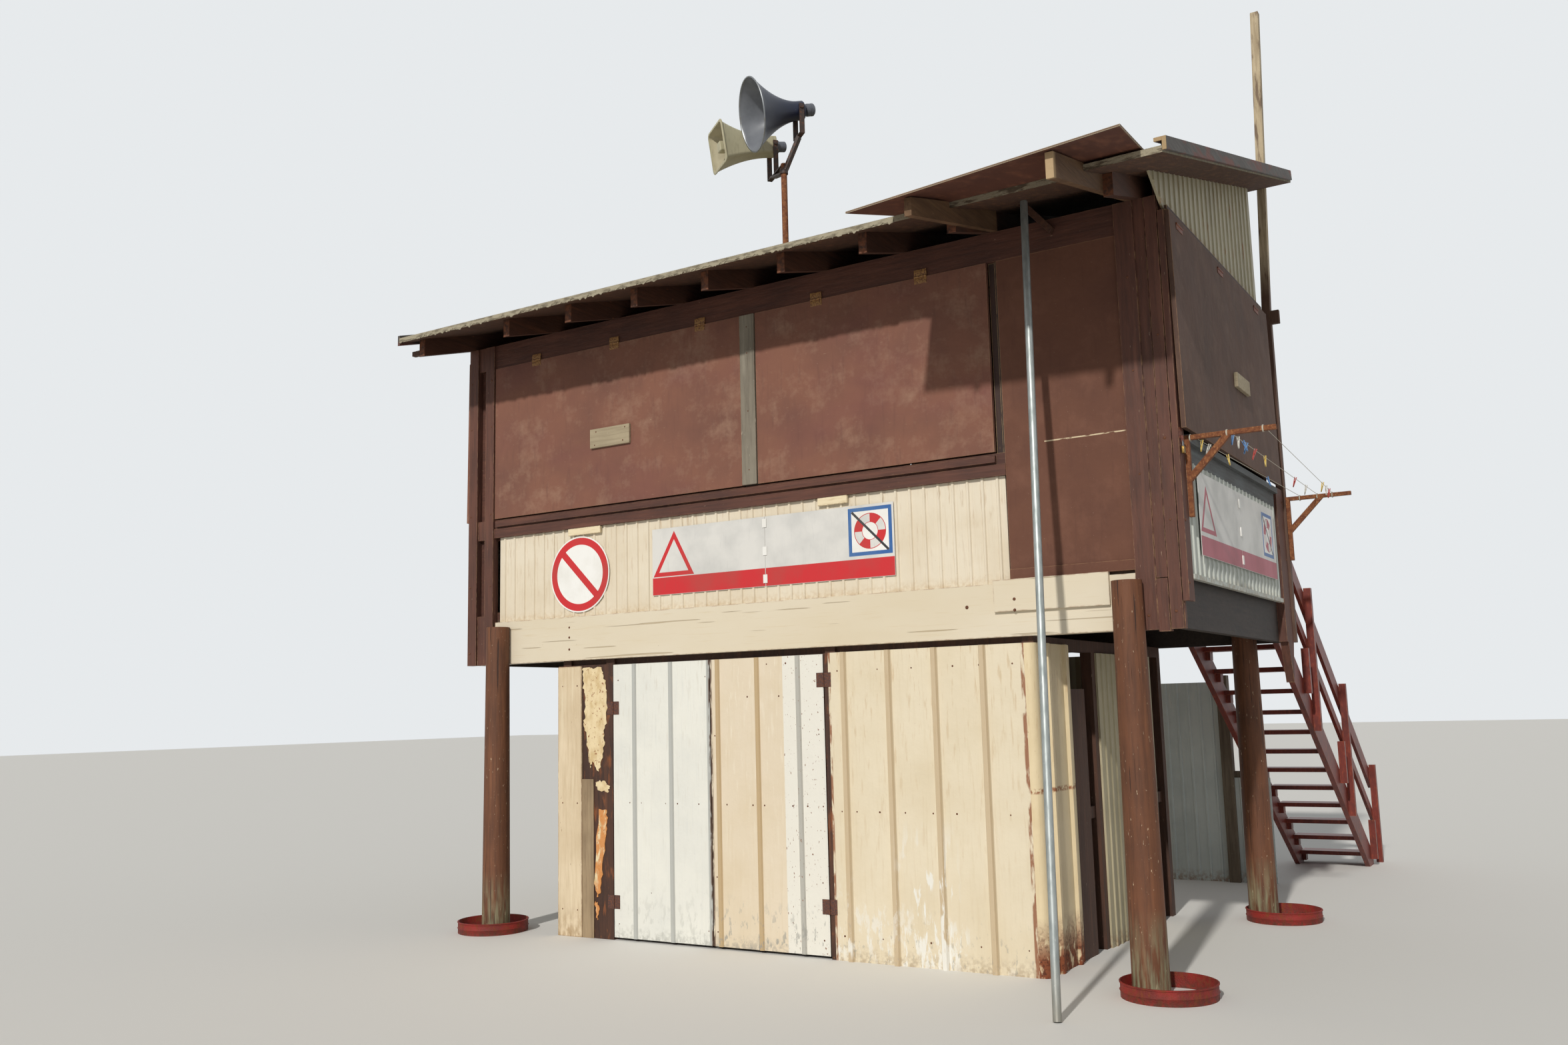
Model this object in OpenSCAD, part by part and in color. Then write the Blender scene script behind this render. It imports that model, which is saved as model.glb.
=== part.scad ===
// Timber lifeguard tower: a shuttered watch room on round posts over a sheet-clad store.
// Millimetres, Z up. The origin is the middle of the foot of the front right post;
// X runs right along the front, Y runs back from it.

/* [Posts] */
// Distance between the axes of the left and right posts
post_span_x = 5205; // [4600:5:5600]
// Distance between the axes of the front and back posts
post_span_y = 2910; // [2700:5:3200]
// Diameter of a round post at the ground
post_d_foot = 220; // [190:1:250]
// Diameter of a round post at its top
post_d_top = 184; // [160:1:188]
// How far the post tops stop below the top of the beams
post_drop = 48; // [0:1:80]
// Outer diameter of the steel ring round each post foot
ring_d = 640; // [500:5:760]
// Height of the steel ring above the ground
ring_h = 130; // [80:5:260]
// Wall of the steel ring
ring_t = 4; // [3:0.5:8]

/* [Platform] */
// Height of the underside of the platform beams
beam_z = 2100; // [1950:5:2300]
// Depth of the platform beams
beam_h = 344; // [280:2:400]
// Thickness of the front and back beams
beam_t = 60; // [50:1:75]
// Thickness of the bearer behind the front beam
bearer_t = 50; // [40:1:70]
// Distance from the front post axis back to the front face of the beam
face_y = 64; // [55:1:70]
// Depth of the floor joists
joist_h = 140; // [110:5:180]
// Thickness of a floor joist
joist_t = 50; // [40:1:60]
// Spacing of the floor joists
joist_pitch = 640; // [450:5:700]
// Thickness of the floor boards
floor_t = 26; // [20:1:40]

/* [Watch room] */
// Overhang of the room past the left post axis
over_left = 409; // [380:1:450]
// Overhang of the room past the right post axis
over_right = 355; // [340:1:400]
// Depth of the landing behind the watch room
landing_d = 390; // [340:5:540]
// Thickness of the wall framing
frame_t = 50; // [40:1:60]
// Height of the top of the lower wall panels
panel_top = 3149; // [3000:1:3250]
// Depth of the sill rail over the lower panels
sill_h = 151; // [120:1:170]
// Height of the top edge of the front shutters
shutter_top = 4595; // [4400:5:4640]
// Height of the top edge of the side and back shutters
side_shutter_top = 4690; // [4500:5:4700]
// How far the front shutters' faces lie behind the column faces
shutter_set = 12; // [6:1:20]
// Thickness of a shutter
shutter_t = 30; // [20:1:36]
// How far the right shutter is propped out at its foot, in degrees
shutter_prop = 2.8; // [1:0.1:6]
// Spacing of the narrow ribs on the wall sheets
rib_pitch = 107; // [90:1:140]
// Width of the flat crest of a narrow rib
rib_top = 14; // [10:1:24]
// Spacing of the ribs on the gable sheets
infill_pitch = 119; // [90:1:150]
// Depth of the narrow ribs
rib_d = 10; // [6:1:14]
// Thickness of the ribbed wall sheets over their ribs
sheet_t = 25; // [20:1:30]

/* [Corner columns] */
// Width of the front left column
column_w_left = 283; // [250:1:330]
// Width of the open slot in the front left column
column_slot = 90; // [60:1:110]
// Width of the outer board of the front right column's face
board_a = 122; // [100:1:140]
// Width of the recessed board beside it
board_b = 70; // [50:1:90]
// Thickness of the board round the front right corner
board_d = 39; // [28:1:45]
// Width of the back corner columns
column_w_back = 240; // [180:5:280]
// Thickness of the column boards
column_t = 60; // [45:1:60]
// How far the column boards hang below the beams on the right
column_drop = 6; // [0:1:30]

/* [Roof] */
// Rise of the roof for each unit of depth
roof_rise = 0.297; // [0.2:0.001:0.35]
// Height of the roof deck's underside over the front post axis
roof_z = 4915; // [4890:1:4990]
// Thickness of the roof deck and its felt
deck_t = 40; // [25:1:60]
// How far the deck runs out in front of the front post axis
eave_front = 686; // [500:1:760]
// How far the deck runs out past the left wall face
eave_left = 100; // [60:1:200]
// How far the deck runs out past the right wall face
eave_right = 221; // [150:1:260]
// Depth of a rafter
rafter_h = 135; // [110:1:150]
// Thickness of a rafter
rafter_t = 60; // [45:1:70]
// How far the rafters stop short of the deck's front edge
rafter_back = 110; // [40:1:200]
// Spacing of the inner rafters
rafter_pitch = 637; // [560:1:660]
// How far the right gable sheet runs out in front of the wall
infill_nose = 219; // [120:1:260]
// Height of the board laid along the deck's right edge
curb_h = 80; // [60:1:100]

/* [Extension sheet] */
// Width of the newer roof sheet
ext_w = 1710; // [1500:5:1800]
// How far the sheet's left corner runs past the deck's front edge
ext_left = 600; // [400:5:700]
// How far the sheet's right corner runs past the deck's front edge
ext_right = 750; // [500:5:800]
// How far the sheet lies back over the deck
ext_lap = 900; // [500:5:1400]
// Thickness of the sheet
ext_t = 12; // [9:1:20]
// How far the front right corner of the sheet kicks up from the roof line
ext_kick = 75; // [20:1:90]

/* [Store] */
// Left end of the store front, measured from the left post axis
store_left = 572; // [450:1:700]
// Right face of the store, measured back from the right post axis
store_right = 630; // [500:1:750]
// Distance from the front post axis to the store front
store_y = 94; // [80:1:140]
// Depth of the store
store_d = 2776; // [2500:1:2800]
// Gap between the store's sheets and the platform beams
store_gap = 42; // [20:1:120]
// Width of the ribbed sheet on the store's right side
store_side_w = 1250; // [900:5:1400]
// Spacing of the ribs on the store sheets
store_rib = 345; // [250:5:360]
// Depth of the ribs on the store sheets
store_rib_d = 22; // [12:1:30]
// Width of the left door leaf
leaf_w_left = 905; // [850:1:950]
// Width of the right door leaf
leaf_w_right = 962; // [900:1:990]
// Thickness of a door leaf
leaf_t = 40; // [30:1:48]
// Gap under the door leaves
leaf_gap = 20; // [15:1:60]
// Height of a door hinge
hinge_h = 100; // [80:1:130]
// Radius of a hinge's knuckle
hinge_r = 6; // [5:0.5:8]
// Working gap round the door leaves
leaf_clear = 7; // [6.5:0.5:10]

/* [Stair] */
// Clear width between the stringers
stair_w = 620; // [550:5:660]
// Rise of one step
step_rise = 180; // [160:1:190]
// Going of one step
step_going = 296; // [250:1:330]
// Thickness of a tread
tread_t = 38; // [30:1:50]
// Depth of a stringer, measured upright
stringer_h = 250; // [200:5:300]
// Thickness of a stringer
stringer_t = 45; // [35:1:60]
// Height of the handrail over the step noses
rail_h = 980; // [850:5:1100]

/* [Fittings] */
// Height of the top of the flagpole
flag_top = 7350; // [6800:10:7700]
// Width of the square flagpole post
flag_w = 76; // [60:1:90]
// Outer diameter of the galvanised prop pole
pole_d = 48; // [40:1:60]
// Distance of the prop pole's foot in front of the front post axis
pole_foot_y = 934; // [600:1:1100]
// Lean of the flagpole over its lower post, in degrees
flag_lean = 2.5; // [0:0.1:4]
// Reach of the clothesline brackets
bracket_reach = 520; // [400:5:600]
// Diameter of the round loudspeaker's mouth
horn_d = 520; // [420:5:560]
// Length of the round loudspeaker's bell
horn_l = 330; // [260:5:380]
// How far the round loudspeaker points downwards, in degrees
horn_dip = 8; // [0:0.5:15]
// Width of the square loudspeaker's mouth
square_w = 300; // [240:5:340]
// Height of the square loudspeaker's mouth
square_h = 265; // [220:5:300]
// Length of the square loudspeaker
square_l = 400; // [320:5:460]
// Height of the loudspeaker mast over the deck
mast_h = 640; // [500:5:800]

/* [Hidden] */
eps = 0.3;
hinge_t = 3;
rib_run = 6;
store_rib_top = 30;
store_rib_run = 12;
pin_r = 3;
floor_z = beam_z + beam_h;
floor_top = floor_z + floor_t;
x_left = -post_span_x - over_left;
x_right = over_right;
post_back = 30;
y_platform = face_y + post_span_y + post_back;
y_back = y_platform - landing_d;
roof_a = atan(roof_rise);
y_frame = face_y + beam_t;
y_shutter = face_y + shutter_set;
y_inner = y_frame + frame_t;
sill_top = panel_top + sill_h;
x_frame_right = x_right - sheet_t;
x_frame_left = x_left + sheet_t;

// Fixed points along the front, left to right
x_col_left = x_left + column_w_left;
shutter_left_w = 2503;
x_batten = x_col_left + shutter_left_w;
batten_w = 128;
jamb_w = 65;
board_c = 85;
x_board_d = x_right - board_d;
x_col_right = x_board_d - board_c - board_b - board_a;
side_panel_w = 812;
x_panel = x_col_right - side_panel_w;
x_jamb = x_panel - jamb_w;
z_corner = beam_z + 157;
stair_in = 179;

timber = "#6b3d2c";
cream = "#e8d8b0";
pale_blue = "#a9b6ba";
weathered = "#8a8272";
rust = "#96502c";
plywood = "#734b3e";
stair_red = "#7d2f20";

// Height of the deck's underside at depth y
function roof_under(y) = roof_z + roof_rise * y;
// Height of the rafters' underside at depth y
function rafter_under(y) = roof_under(y) - rafter_h / cos(roof_a);

// A slab with its sides in the YZ plane, drawn as [y, z] points, from x0 over the width w
module slab_x(x0, w, pts) {
  translate([x0, 0, 0]) rotate([90, 0, 90]) linear_extrude(w) polygon(pts);
}

// A slab with its sides in the XZ plane, drawn as [x, z] points, from y = 0 over the width w
module slab_y(w, pts) {
  translate([0, w, 0]) rotate([90, 0, 0]) linear_extrude(w) polygon(pts);
}

// Box from one corner to the other
module box(a, b) {
  translate(a) cube(b - a);
}

// Outline of a ribbed sheet: length along x, ribs standing out to -y, back face on y = 0
function rib_points(l, pitch, d, t, top, run) = let(n = floor(l / pitch), m = (l - n * pitch) / 2) [
  [0, 0], [0, -(t - d)],
  for (i = [0 : n - 1]) let(x = m + i * pitch + (pitch - top) / 2) each
    [[x - run, -(t - d)], [x, -t], [x + top, -t], [x + top + run, -(t - d)]],
  [l, -(t - d)], [l, 0]];

// Upright ribbed sheet standing on z0, its back on y = 0, ribs towards -y
module ribbed(l, h, pitch, d, t, top, run) {
  linear_extrude(h) polygon(rib_points(l, pitch, d, t, top, run));
}

// Round post, tapering upwards
module round_post(grow = 0) {
  cylinder(h = floor_z - post_drop, d1 = post_d_foot + 2 * grow, d2 = post_d_top + 2 * grow, $fn = 48);
}

module at_posts(front = true, back = true) {
  for (x = [0, -post_span_x], y = concat(front ? [0] : [], back ? [post_span_y] : []))
    translate([x, y, 0]) children();
}

module post_front_right() {
  color(timber) round_post();
}

module post_front_left() {
  color(timber) translate([-post_span_x, 0, 0]) round_post();
}

module post_back_right() {
  color(timber) translate([0, post_span_y, 0]) round_post();
}

module post_back_left() {
  color(timber) translate([-post_span_x, post_span_y, 0]) round_post();
}

// Rings cut from steel drums, standing on the ground round each post foot
module footing_rings() {
  color("#8c1f16")
    for (p = [[-30, -20], [-post_span_x, 30], [70, post_span_y], [-post_span_x, post_span_y]])
      translate([p[0], p[1], 0]) difference() {
        cylinder(h = ring_h, d = ring_d, $fn = 64);
        translate([0, 0, -1]) cylinder(h = ring_h + 2, d = ring_d - 2 * ring_t, $fn = 64);
      }
}

// Cream beam coped over the posts, with the bearer fixed behind it
module beam_front() {
  color(cream) difference() {
    union() {
      box([x_col_left + 31, face_y, beam_z], [x_col_right - 1, y_frame, floor_z]);
      box([x_left + column_t, y_frame, beam_z], [x_right - column_t, y_frame + bearer_t, floor_z]);
    }
    at_posts(back = false) round_post(eps);
  }
}

module beam_back() {
  color(timber) difference() {
    box([x_left + column_t, y_platform - beam_t, beam_z],
        [x_right - column_t, y_platform, floor_z]);
    at_posts(front = false) round_post(eps);
  }
}

module side_beams() {
  color("#4a3026")
    for (x = [x_left + column_t, x_right - column_t - beam_t])
      difference() {
        box([x, y_frame + bearer_t, beam_z], [x + beam_t, y_platform - beam_t, floor_z]);
        at_posts() round_post(eps);
      }
}

// Plank over the upper half of the front beam at its right end
module beam_plank() {
  w = 762;
  x1 = -post_d_top / 2 - 30;
  color(cream) box([x1 - w, face_y - 26, beam_z + 160], [x1, face_y, floor_z + 20]);
}

module floor_joists() {
  x0 = x_left + column_t + beam_t;
  x1 = x_right - column_t - beam_t;
  n = floor((x1 - x0) / joist_pitch);
  color(timber)
    for (i = [1 : n])
      let(x = x0 + (x1 - x0) * i / (n + 1) - joist_t / 2)
        box([x, y_frame + bearer_t, floor_z - joist_h], [x + joist_t, y_platform - beam_t, floor_z]);
}

module floor_deck() {
  color("#5b4636") {
    box([x_frame_left, y_frame, floor_z], [x_frame_right, y_platform - column_w_back, floor_top]);
    box([x_left + column_t, y_platform - column_w_back, floor_z], [x_right - column_t, y_platform, floor_top]);
  }
}

// Two boards held apart by spacer blocks, like a ladder
module column_front_left() {
  w = (column_w_left - column_slot) / 2;
  set_back = 16;
  spacers = [[beam_z, floor_z + 60], [panel_top - 8, sill_top], [shutter_top, roof_z]];
  color(timber) {
    for (x = [x_left, x_left + w + column_slot])
      slab_x(x, w, under_rafters(face_y, face_y + column_t, beam_z));
    intersection() {
      slab_x(x_left, column_w_left, under_rafters(face_y + set_back, face_y + column_t, beam_z));
      for (z = spacers)
        box([x_left + w, face_y, z[0]], [x_left + w + column_slot, y_frame, z[1]]);
    }
  }
}

// Three upright boards, the middle one recessed over a short block, and a board round the corner
module column_front_right() {
  x_b = x_col_right + board_a;
  x_c = x_b + board_b;
  z0 = beam_z - column_drop;
  z_block = floor_z - 38;
  set_back = 12;
  groove = 5;
  color(timber) difference() {
    union() {
      slab_x(x_col_right, x_board_d - x_col_right, under_rafters(face_y, y_frame, z0));
      box([x_b, face_y + groove, z0 - set_back], [x_c, y_frame, z0]);
      box([x_board_d, face_y, z_corner], [x_right, y_frame, side_shutter_top]);
      box([x_frame_right, y_frame, z_corner], [x_right, y_frame + 58, side_shutter_top]);
    }
    box([x_b, face_y - 1, z_block], [x_c, face_y + set_back, roof_z]);
    box([x_b - 1, face_y - 1, z0 - set_back - 1], [x_c, face_y + groove, z_block]);
    box([x_b, face_y - 1, z_block - groove], [x_c, face_y + 2 * set_back, z_block + 1]);
    box([x_c - 1, face_y - 1, z0 - 1], [x_c + groove, face_y + 2 * set_back, roof_z]);
    box([x_board_d - groove, face_y - 1, z0 - 1], [x_board_d, face_y + 2 * set_back, roof_z]);
    round_post(eps);
  }
}

// Corner board of the landing, with a knee gusset under it
module column_back(x) {
  y0 = y_platform - column_w_back;
  box([x, y0, beam_z], [x + column_t, y_platform, sill_top]);
  slab_x(x, column_t, [
    [y0 + 40, beam_z], [y0 + 150, beam_z - 310], [y_platform - 40, beam_z - 130], [y_platform, beam_z]]);
}

module column_back_right() {
  color(timber) column_back(x_right - column_t);
}

module column_back_left() {
  color(timber) column_back(x_left);
}

// Outline of a wall frame piece whose top follows the rafters' underside, in [y, z]
function under_rafters(y0, y1, z0) = [[y0, z0], [y1, z0], [y1, rafter_under(y1)], [y0, rafter_under(y0)]];

// Front wall framing: bottom plate, sill boards, studs and the header under the rafters
module front_frame() {
  x0 = x_frame_left + frame_t;
  x1 = x_frame_right - frame_t;
  ledge_z = sill_top - 62;
  color(timber) {
    difference() {
      union() {
        slab_x(x0, x1 - x0, under_rafters(y_frame, y_inner, floor_top));
        slab_x(x_col_left, x_col_right - x_col_left,
               under_rafters(face_y + 20, y_frame, shutter_top + eps));
        box([x_col_left, face_y + 26, panel_top], [x_panel, y_frame, sill_top]);
        box([x_col_left, face_y + 12, panel_top], [x_panel, face_y + 26, ledge_z - 14]);
        box([x_col_left + 26, face_y - 4, ledge_z], [x_panel - jamb_w, face_y + 26, ledge_z + 46]);
      }
      box([x0 + 60, y_frame - 1, floor_top + 60], [x_batten, y_inner + 1, panel_top - 20]);
      box([x_batten + batten_w, y_frame - 1, floor_top + 60], [x_jamb, y_inner + 1, panel_top - 20]);
      box([x_panel, y_frame - 1, floor_top + 60], [x1 - 60, y_inner + 1, shutter_top - 30]);
      box([x_col_left + 40, y_frame - 1, sill_top], [x_batten, y_inner + 1, shutter_top - 30]);
      box([x_batten + batten_w, y_frame - 1, sill_top], [x_jamb, y_inner + 1, shutter_top - 30]);
    }
  }
}

// Side wall framing between the front and back walls, cut to the slope of the roof
module side_frame(x, top_z) {
  y1 = y_back - sheet_t - frame_t;
  difference() {
    slab_x(x, frame_t, [[y_frame, floor_top], [y1, floor_top], [y1, top_z(y1)], [y_frame, top_z(y_frame)]]);
    box([x - 1, y_frame + 60, floor_top + 60], [x + frame_t + 1, y1 - 60, panel_top - 20]);
    box([x - 1, y_frame + 60, sill_top], [x + frame_t + 1, y1 - 60, side_shutter_top - 30]);
  }
}

module right_frame() {
  color(timber) side_frame(x_frame_right - frame_t, function(y) roof_under(y));
}

module left_frame() {
  color(timber) side_frame(x_frame_left, function(y) rafter_under(y));
}

door_x0 = x_right - stair_in - stair_w - 116;
door_w = 750;
door_h = 1930;

module back_frame() {
  y1 = y_back - sheet_t;
  y0 = y1 - frame_t;
  x0 = x_frame_left;
  x1 = x_frame_right;
  color(timber) difference() {
    slab_x(x0, x1 - x0, under_rafters(y0, y1, floor_top));
    box([x0 + 60, y0 - 1, floor_top + 60], [x_batten, y1 + 1, panel_top - 20]);
    box([x_batten + batten_w, y0 - 1, floor_top + 60], [door_x0 - 60, y1 + 1, panel_top - 20]);
    box([x0 + 60, y0 - 1, sill_top], [x_batten, y1 + 1, side_shutter_top - 30]);
    box([x_batten + batten_w, y0 - 1, sill_top], [door_x0 - 60, y1 + 1, side_shutter_top - 30]);
    box([door_x0, y0 - 1, floor_top - 1], [door_x0 + door_w, y1 + 1, floor_top + door_h]);
  }
}

module front_panel() {
  color(cream) translate([x_col_left + 42, y_frame, floor_z])
    ribbed(x_jamb + 47 - x_col_left - 42, panel_top - floor_z, rib_pitch, rib_d, sheet_t, rib_top, rib_run);
}

// Plain panel beside the shutters, with a thin trim board along its foot
module front_side_panel() {
  trim_z = floor_z + 22;
  color(plywood) {
    box([x_panel, face_y + 20, trim_z], [x_col_right, y_frame, shutter_top]);
    box([x_panel, face_y + 5, trim_z], [x_col_right, face_y + 20, trim_z + 64]);
  }
}

// Ribbed sheet over the side wall's lower half, on a thin trim board
module side_panel() {
  y0 = y_frame + 60;
  y1 = y_back + 90;
  trim_h = 30;
  translate([0, y0, floor_z - 20]) rotate([0, 0, 90])
    ribbed(y1 - y0, panel_top - floor_z, rib_pitch, rib_d, sheet_t, rib_top, rib_run);
  box([0, y0, floor_z - 20 - trim_h], [sheet_t + 8, y1, floor_z - 20]);
}

module right_panel() {
  color(pale_blue) translate([x_frame_right, 0, 0]) side_panel();
}

module left_panel() {
  color(pale_blue) translate([x_frame_left, 0, 0]) mirror([1, 0, 0]) side_panel();
}

module back_panel() {
  l = door_x0 - 60 - x_frame_left;
  color(cream) translate([door_x0 - 60, y_back - sheet_t, floor_top]) rotate([0, 0, 180])
    ribbed(l, panel_top - floor_top, rib_pitch, rib_d, sheet_t, rib_top, rib_run);
}

module front_shutter(x0, x1) {
  box([x0, y_shutter, sill_top + 10], [x1, y_shutter + shutter_t, shutter_top]);
}

module shutter_front_left() {
  color(plywood) front_shutter(x_col_left + 6, x_batten - 6);
}

module shutter_front_right() {
  color(plywood) front_shutter(x_batten + batten_w + 6, x_jamb - 6);
}

// Side shutter: hangs from its top edge, its foot propped out
module side_shutter(a) {
  h = side_shutter_top - sill_top + 15;
  rotate([0, a, 0]) box([0, face_y + 20, -h], [shutter_t, y_back - 100, 0]);
}

module shutter_right() {
  color(plywood) translate([x_right, 0, side_shutter_top]) side_shutter(-shutter_prop);
}

module shutter_left() {
  color(plywood) translate([x_left, 0, side_shutter_top]) mirror([1, 0, 0]) side_shutter(-shutter_prop);
}

module shutter_back() {
  y0 = y_back - sheet_t;
  color(plywood)
    for (x = [[x_frame_left + 20, x_batten - 6], [x_batten + batten_w + 6, door_x0 - 66]])
      box([x[0], y0, sill_top - 30], [x[1], y0 + shutter_t, side_shutter_top]);
}

// Battens and jamb board of the front shutters, the cleats on the shutters and the boards over them
module shutter_trims() {
  cleat_x = x_left + 1343;
  cleat_y = y_back - 1030;
  cleat_h = 250;
  board_z = side_shutter_top + shutter_t * sin(shutter_prop) + eps;
  color(weathered) {
    box([x_batten, face_y + 2, sill_top + 10], [x_batten + batten_w, y_frame, shutter_top]);
    box([x_jamb, y_frame - 16, sill_top], [x_panel, y_frame, shutter_top]);
    box([cleat_x, y_shutter - 22, sill_top + 420], [cleat_x + 398, y_shutter, sill_top + 420 + cleat_h]);
    for (side = [0, 1]) translate([side * (x_left + x_right), 0, 0]) mirror([side, 0, 0])
      box([x_right, face_y + 20, board_z], [x_right + 20, y_back - 100, board_z + 32]);
    translate([x_right, 0, side_shutter_top]) rotate([0, -shutter_prop, 0])
      box([shutter_t, cleat_y, -830], [shutter_t + 26, cleat_y + 360, -765]);
  }
}

// Boards under the side shutters: a dark one on the frame and a ledge over it
module side_sills() {
  y0 = y_frame + 60;
  y1 = y_back + 90;
  color("#7e8c90")
    for (side = [0, 1]) translate([side * (x_left + x_right), 0, 0]) mirror([side, 0, 0]) {
      box([x_frame_right, y0, panel_top - 20], [x_right - 8, y1, sill_top - 64]);
      box([x_frame_right, y0, sill_top - 64], [x_right + 24, y1, sill_top - 20]);
    }
}

// Outline of a gable sheet under the roof line, its nose running out in front of the wall, in [y, z]
function infill_outline(top_z) = let(
  z0 = side_shutter_top + 8, y1 = y_back - 80, y_nose = face_y - infill_nose)
  [[y_frame + 8, z0], [y1, z0], [y1, top_z(y1) - eps], [y_nose, top_z(y_nose) - eps]];

// Ribbed sheets between the side shutters and the roof
module gable_infills() {
  y0 = face_y - infill_nose;
  y1 = y_back - 80;
  z0 = side_shutter_top + 8;
  h = roof_under(y1) - z0;
  color(cream) {
    intersection() {
      translate([x_frame_right, y0, z0]) rotate([0, 0, 90])
        ribbed(y1 - y0, h, infill_pitch, rib_d, sheet_t, rib_top, rib_run);
      slab_x(x_frame_right - 1, sheet_t + 2, infill_outline(function(y) roof_under(y)));
    }
    intersection() {
      translate([x_frame_left, y1, z0]) rotate([0, 0, -90])
        ribbed(y1 - y_frame - 8, h, infill_pitch, rib_d, sheet_t, rib_top, rib_run);
      slab_x(x_left - 1, sheet_t + 2, infill_outline(function(y) rafter_under(y)));
    }
  }
}

module back_door() {
  y1 = y_back - sheet_t;
  color(plywood)
    box([door_x0, y1 - 40, floor_top], [door_x0 + door_w - 3, y1, floor_top + door_h - 3]);
}

y_eave = -eave_front;
y_roof_back = y_platform - 10;
rafter_x = concat([x_left + rafter_t / 2],
                  [for (i = [6 : -1 : 0]) x_right - 1173 - i * rafter_pitch],
                  [x_right - 159]);

// Rafter along the slope, its top on the deck's underside
module rafter(x, y0, y1) {
  slab_x(x - rafter_t / 2, rafter_t,
         [[y0, rafter_under(y0)], [y1, rafter_under(y1)], [y1, roof_under(y1)], [y0, roof_under(y0)]]);
}

module rafters() {
  color(timber)
    for (x = rafter_x) rafter(x, y_eave + rafter_back, y_roof_back - 40);
}

ext_x1 = x_right + eave_right - 12;
ext_x0 = ext_x1 - ext_w;

// Height of the extension sheet's underside over the roof line, at x and distance f past the deck edge
function ext_lift(x, f) = deck_t + ext_kick * (x - ext_x0) / ext_w * f / ext_right;

// Newer rafters fixed beside two old ones, carrying the extension sheet
module new_rafter(x, f) {
  y0 = y_eave - f;
  t = 45;
  slab_x(x, t, [
    [y0, roof_under(y0) - 60], [y_frame - 60, rafter_under(y_frame - 60)],
    [y_frame - 60, roof_under(y_frame - 60) - eps], [y_eave - 4, roof_under(y_eave - 4) - eps],
    [y_eave - 4, roof_under(y_eave - 4) + ext_lift(x, 4) - 1], [y0, roof_under(y0) + ext_lift(x, f) - 1]]);
}

module new_rafters() {
  color("#b9925f") {
    new_rafter(rafter_x[7] + rafter_t / 2, ext_left - 60);
    new_rafter(rafter_x[8] - rafter_t / 2 - 45, ext_right - 90);
  }
}

// Band along the roof between two heights over the deck's underside, in [y, z]
function roof_band(z0, z1) = [
  for (p = [[y_eave, z0], [y_roof_back, z0], [y_roof_back, z1], [y_eave, z1]])
    [p[0], roof_under(p[0]) + p[1]]];

module roof_deck() {
  x0 = x_left - eave_left;
  x1 = x_right + eave_right;
  color(weathered) slab_x(x0, x1 - x0, roof_band(0, deck_t));
}

// Thin sheet lying on the deck, kicked up where it runs out past the front edge
module roof_sheet() {
  yb = y_eave + ext_lap;
  xr = ext_x1 - curb_h - 5;
  bottom = [
    [ext_x0, yb, roof_under(yb) + deck_t], [xr, yb, roof_under(yb) + deck_t],
    [xr, y_eave, roof_under(y_eave) + deck_t], [ext_x0, y_eave, roof_under(y_eave) + deck_t],
    [ext_x1, y_eave - ext_right, roof_under(y_eave - ext_right) + ext_lift(ext_x1, ext_right)],
    [ext_x0, y_eave - ext_left, roof_under(y_eave - ext_left) + ext_lift(ext_x0, ext_left)]];
  top = [for (p = bottom) p + [0, 0, ext_t]];
  rim = [0, 1, 2, 4, 5, 3];
  color("#6a4030") polyhedron(concat(bottom, top), concat(
    [[3, 2, 1, 0], [4, 2, 3], [5, 4, 3], [6, 7, 8, 9], [9, 8, 10], [9, 10, 11]],
    [for (i = [0 : 5]) let(a = rim[i], b = rim[(i + 1) % 6]) [a, b, b + 6, a + 6]]));
}

// Two boards on edge along the deck's right side, the outer one lower
module roof_curb() {
  x1 = x_right + eave_right;
  y0 = y_eave + 10;
  color("#74787a")
    for (b = [[curb_h / 2, curb_h, curb_h], [0, curb_h / 2, curb_h - 14]])
      slab_x(x1 - b[1], b[1] - b[0],
             [for (p = [[y0, 0], [y_roof_back, 0], [y_roof_back, b[2]], [y0, b[2]]])
               [p[0], roof_under(p[0]) + deck_t + p[1]]]);
}

// Leaning steel tube, its foot on the ground and its top rim under the eave
module prop_pole() {
  foot = [x_right - 578, -pole_foot_y, 0];
  top = [x_right - 825, -140, roof_under(-140)];
  u = (top - foot) / norm(top - foot);
  tilt = acos(u * [0, -sin(roof_a), cos(roof_a)]);
  base = foot + [0, 0, pole_d / 2 * sin(acos(u[2]))];
  end = top - [0, 0, eps + pole_d / 2 * sin(tilt) / cos(roof_a)];
  l = norm(end - base);
  color("#969b9b") translate(base) rotate([0, acos(u[2]), atan2(u[1], u[0])]) difference() {
    cylinder(h = l, d = pole_d, $fn = 32);
    translate([0, 0, -1]) cylinder(h = l + 2, d = pole_d - 6, $fn = 32);
  }
}

x_store0 = -post_span_x + store_left;
x_store1 = -store_right;
y_store1 = store_y + store_d;
store_h = beam_z - store_gap;
store_sheet = store_rib_d + 2;
store_post = 80;
store_pier_w = 556;
door_l0 = x_store0 + store_pier_w;
door_l1 = door_l0 + leaf_w_left;
door_r1 = door_l1 + leaf_clear + leaf_w_right;
store_x = [x_store0 + 30, x_store1 - store_post - 30];
hinge_y = store_y - hinge_r;
hinge_x = [door_l0 - leaf_clear / 2, door_r1 + leaf_clear / 2];
hinge_z = [[227, store_h - 388], [293, store_h - 235]];
corner_w = 89;
corner_run = 630;
side_board_w = 270;
y_side_board = store_y + corner_run + 20;
y_side_post = y_side_board + side_board_w + 180;
y_side_sheet = y_side_post + store_post - 10;

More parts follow.
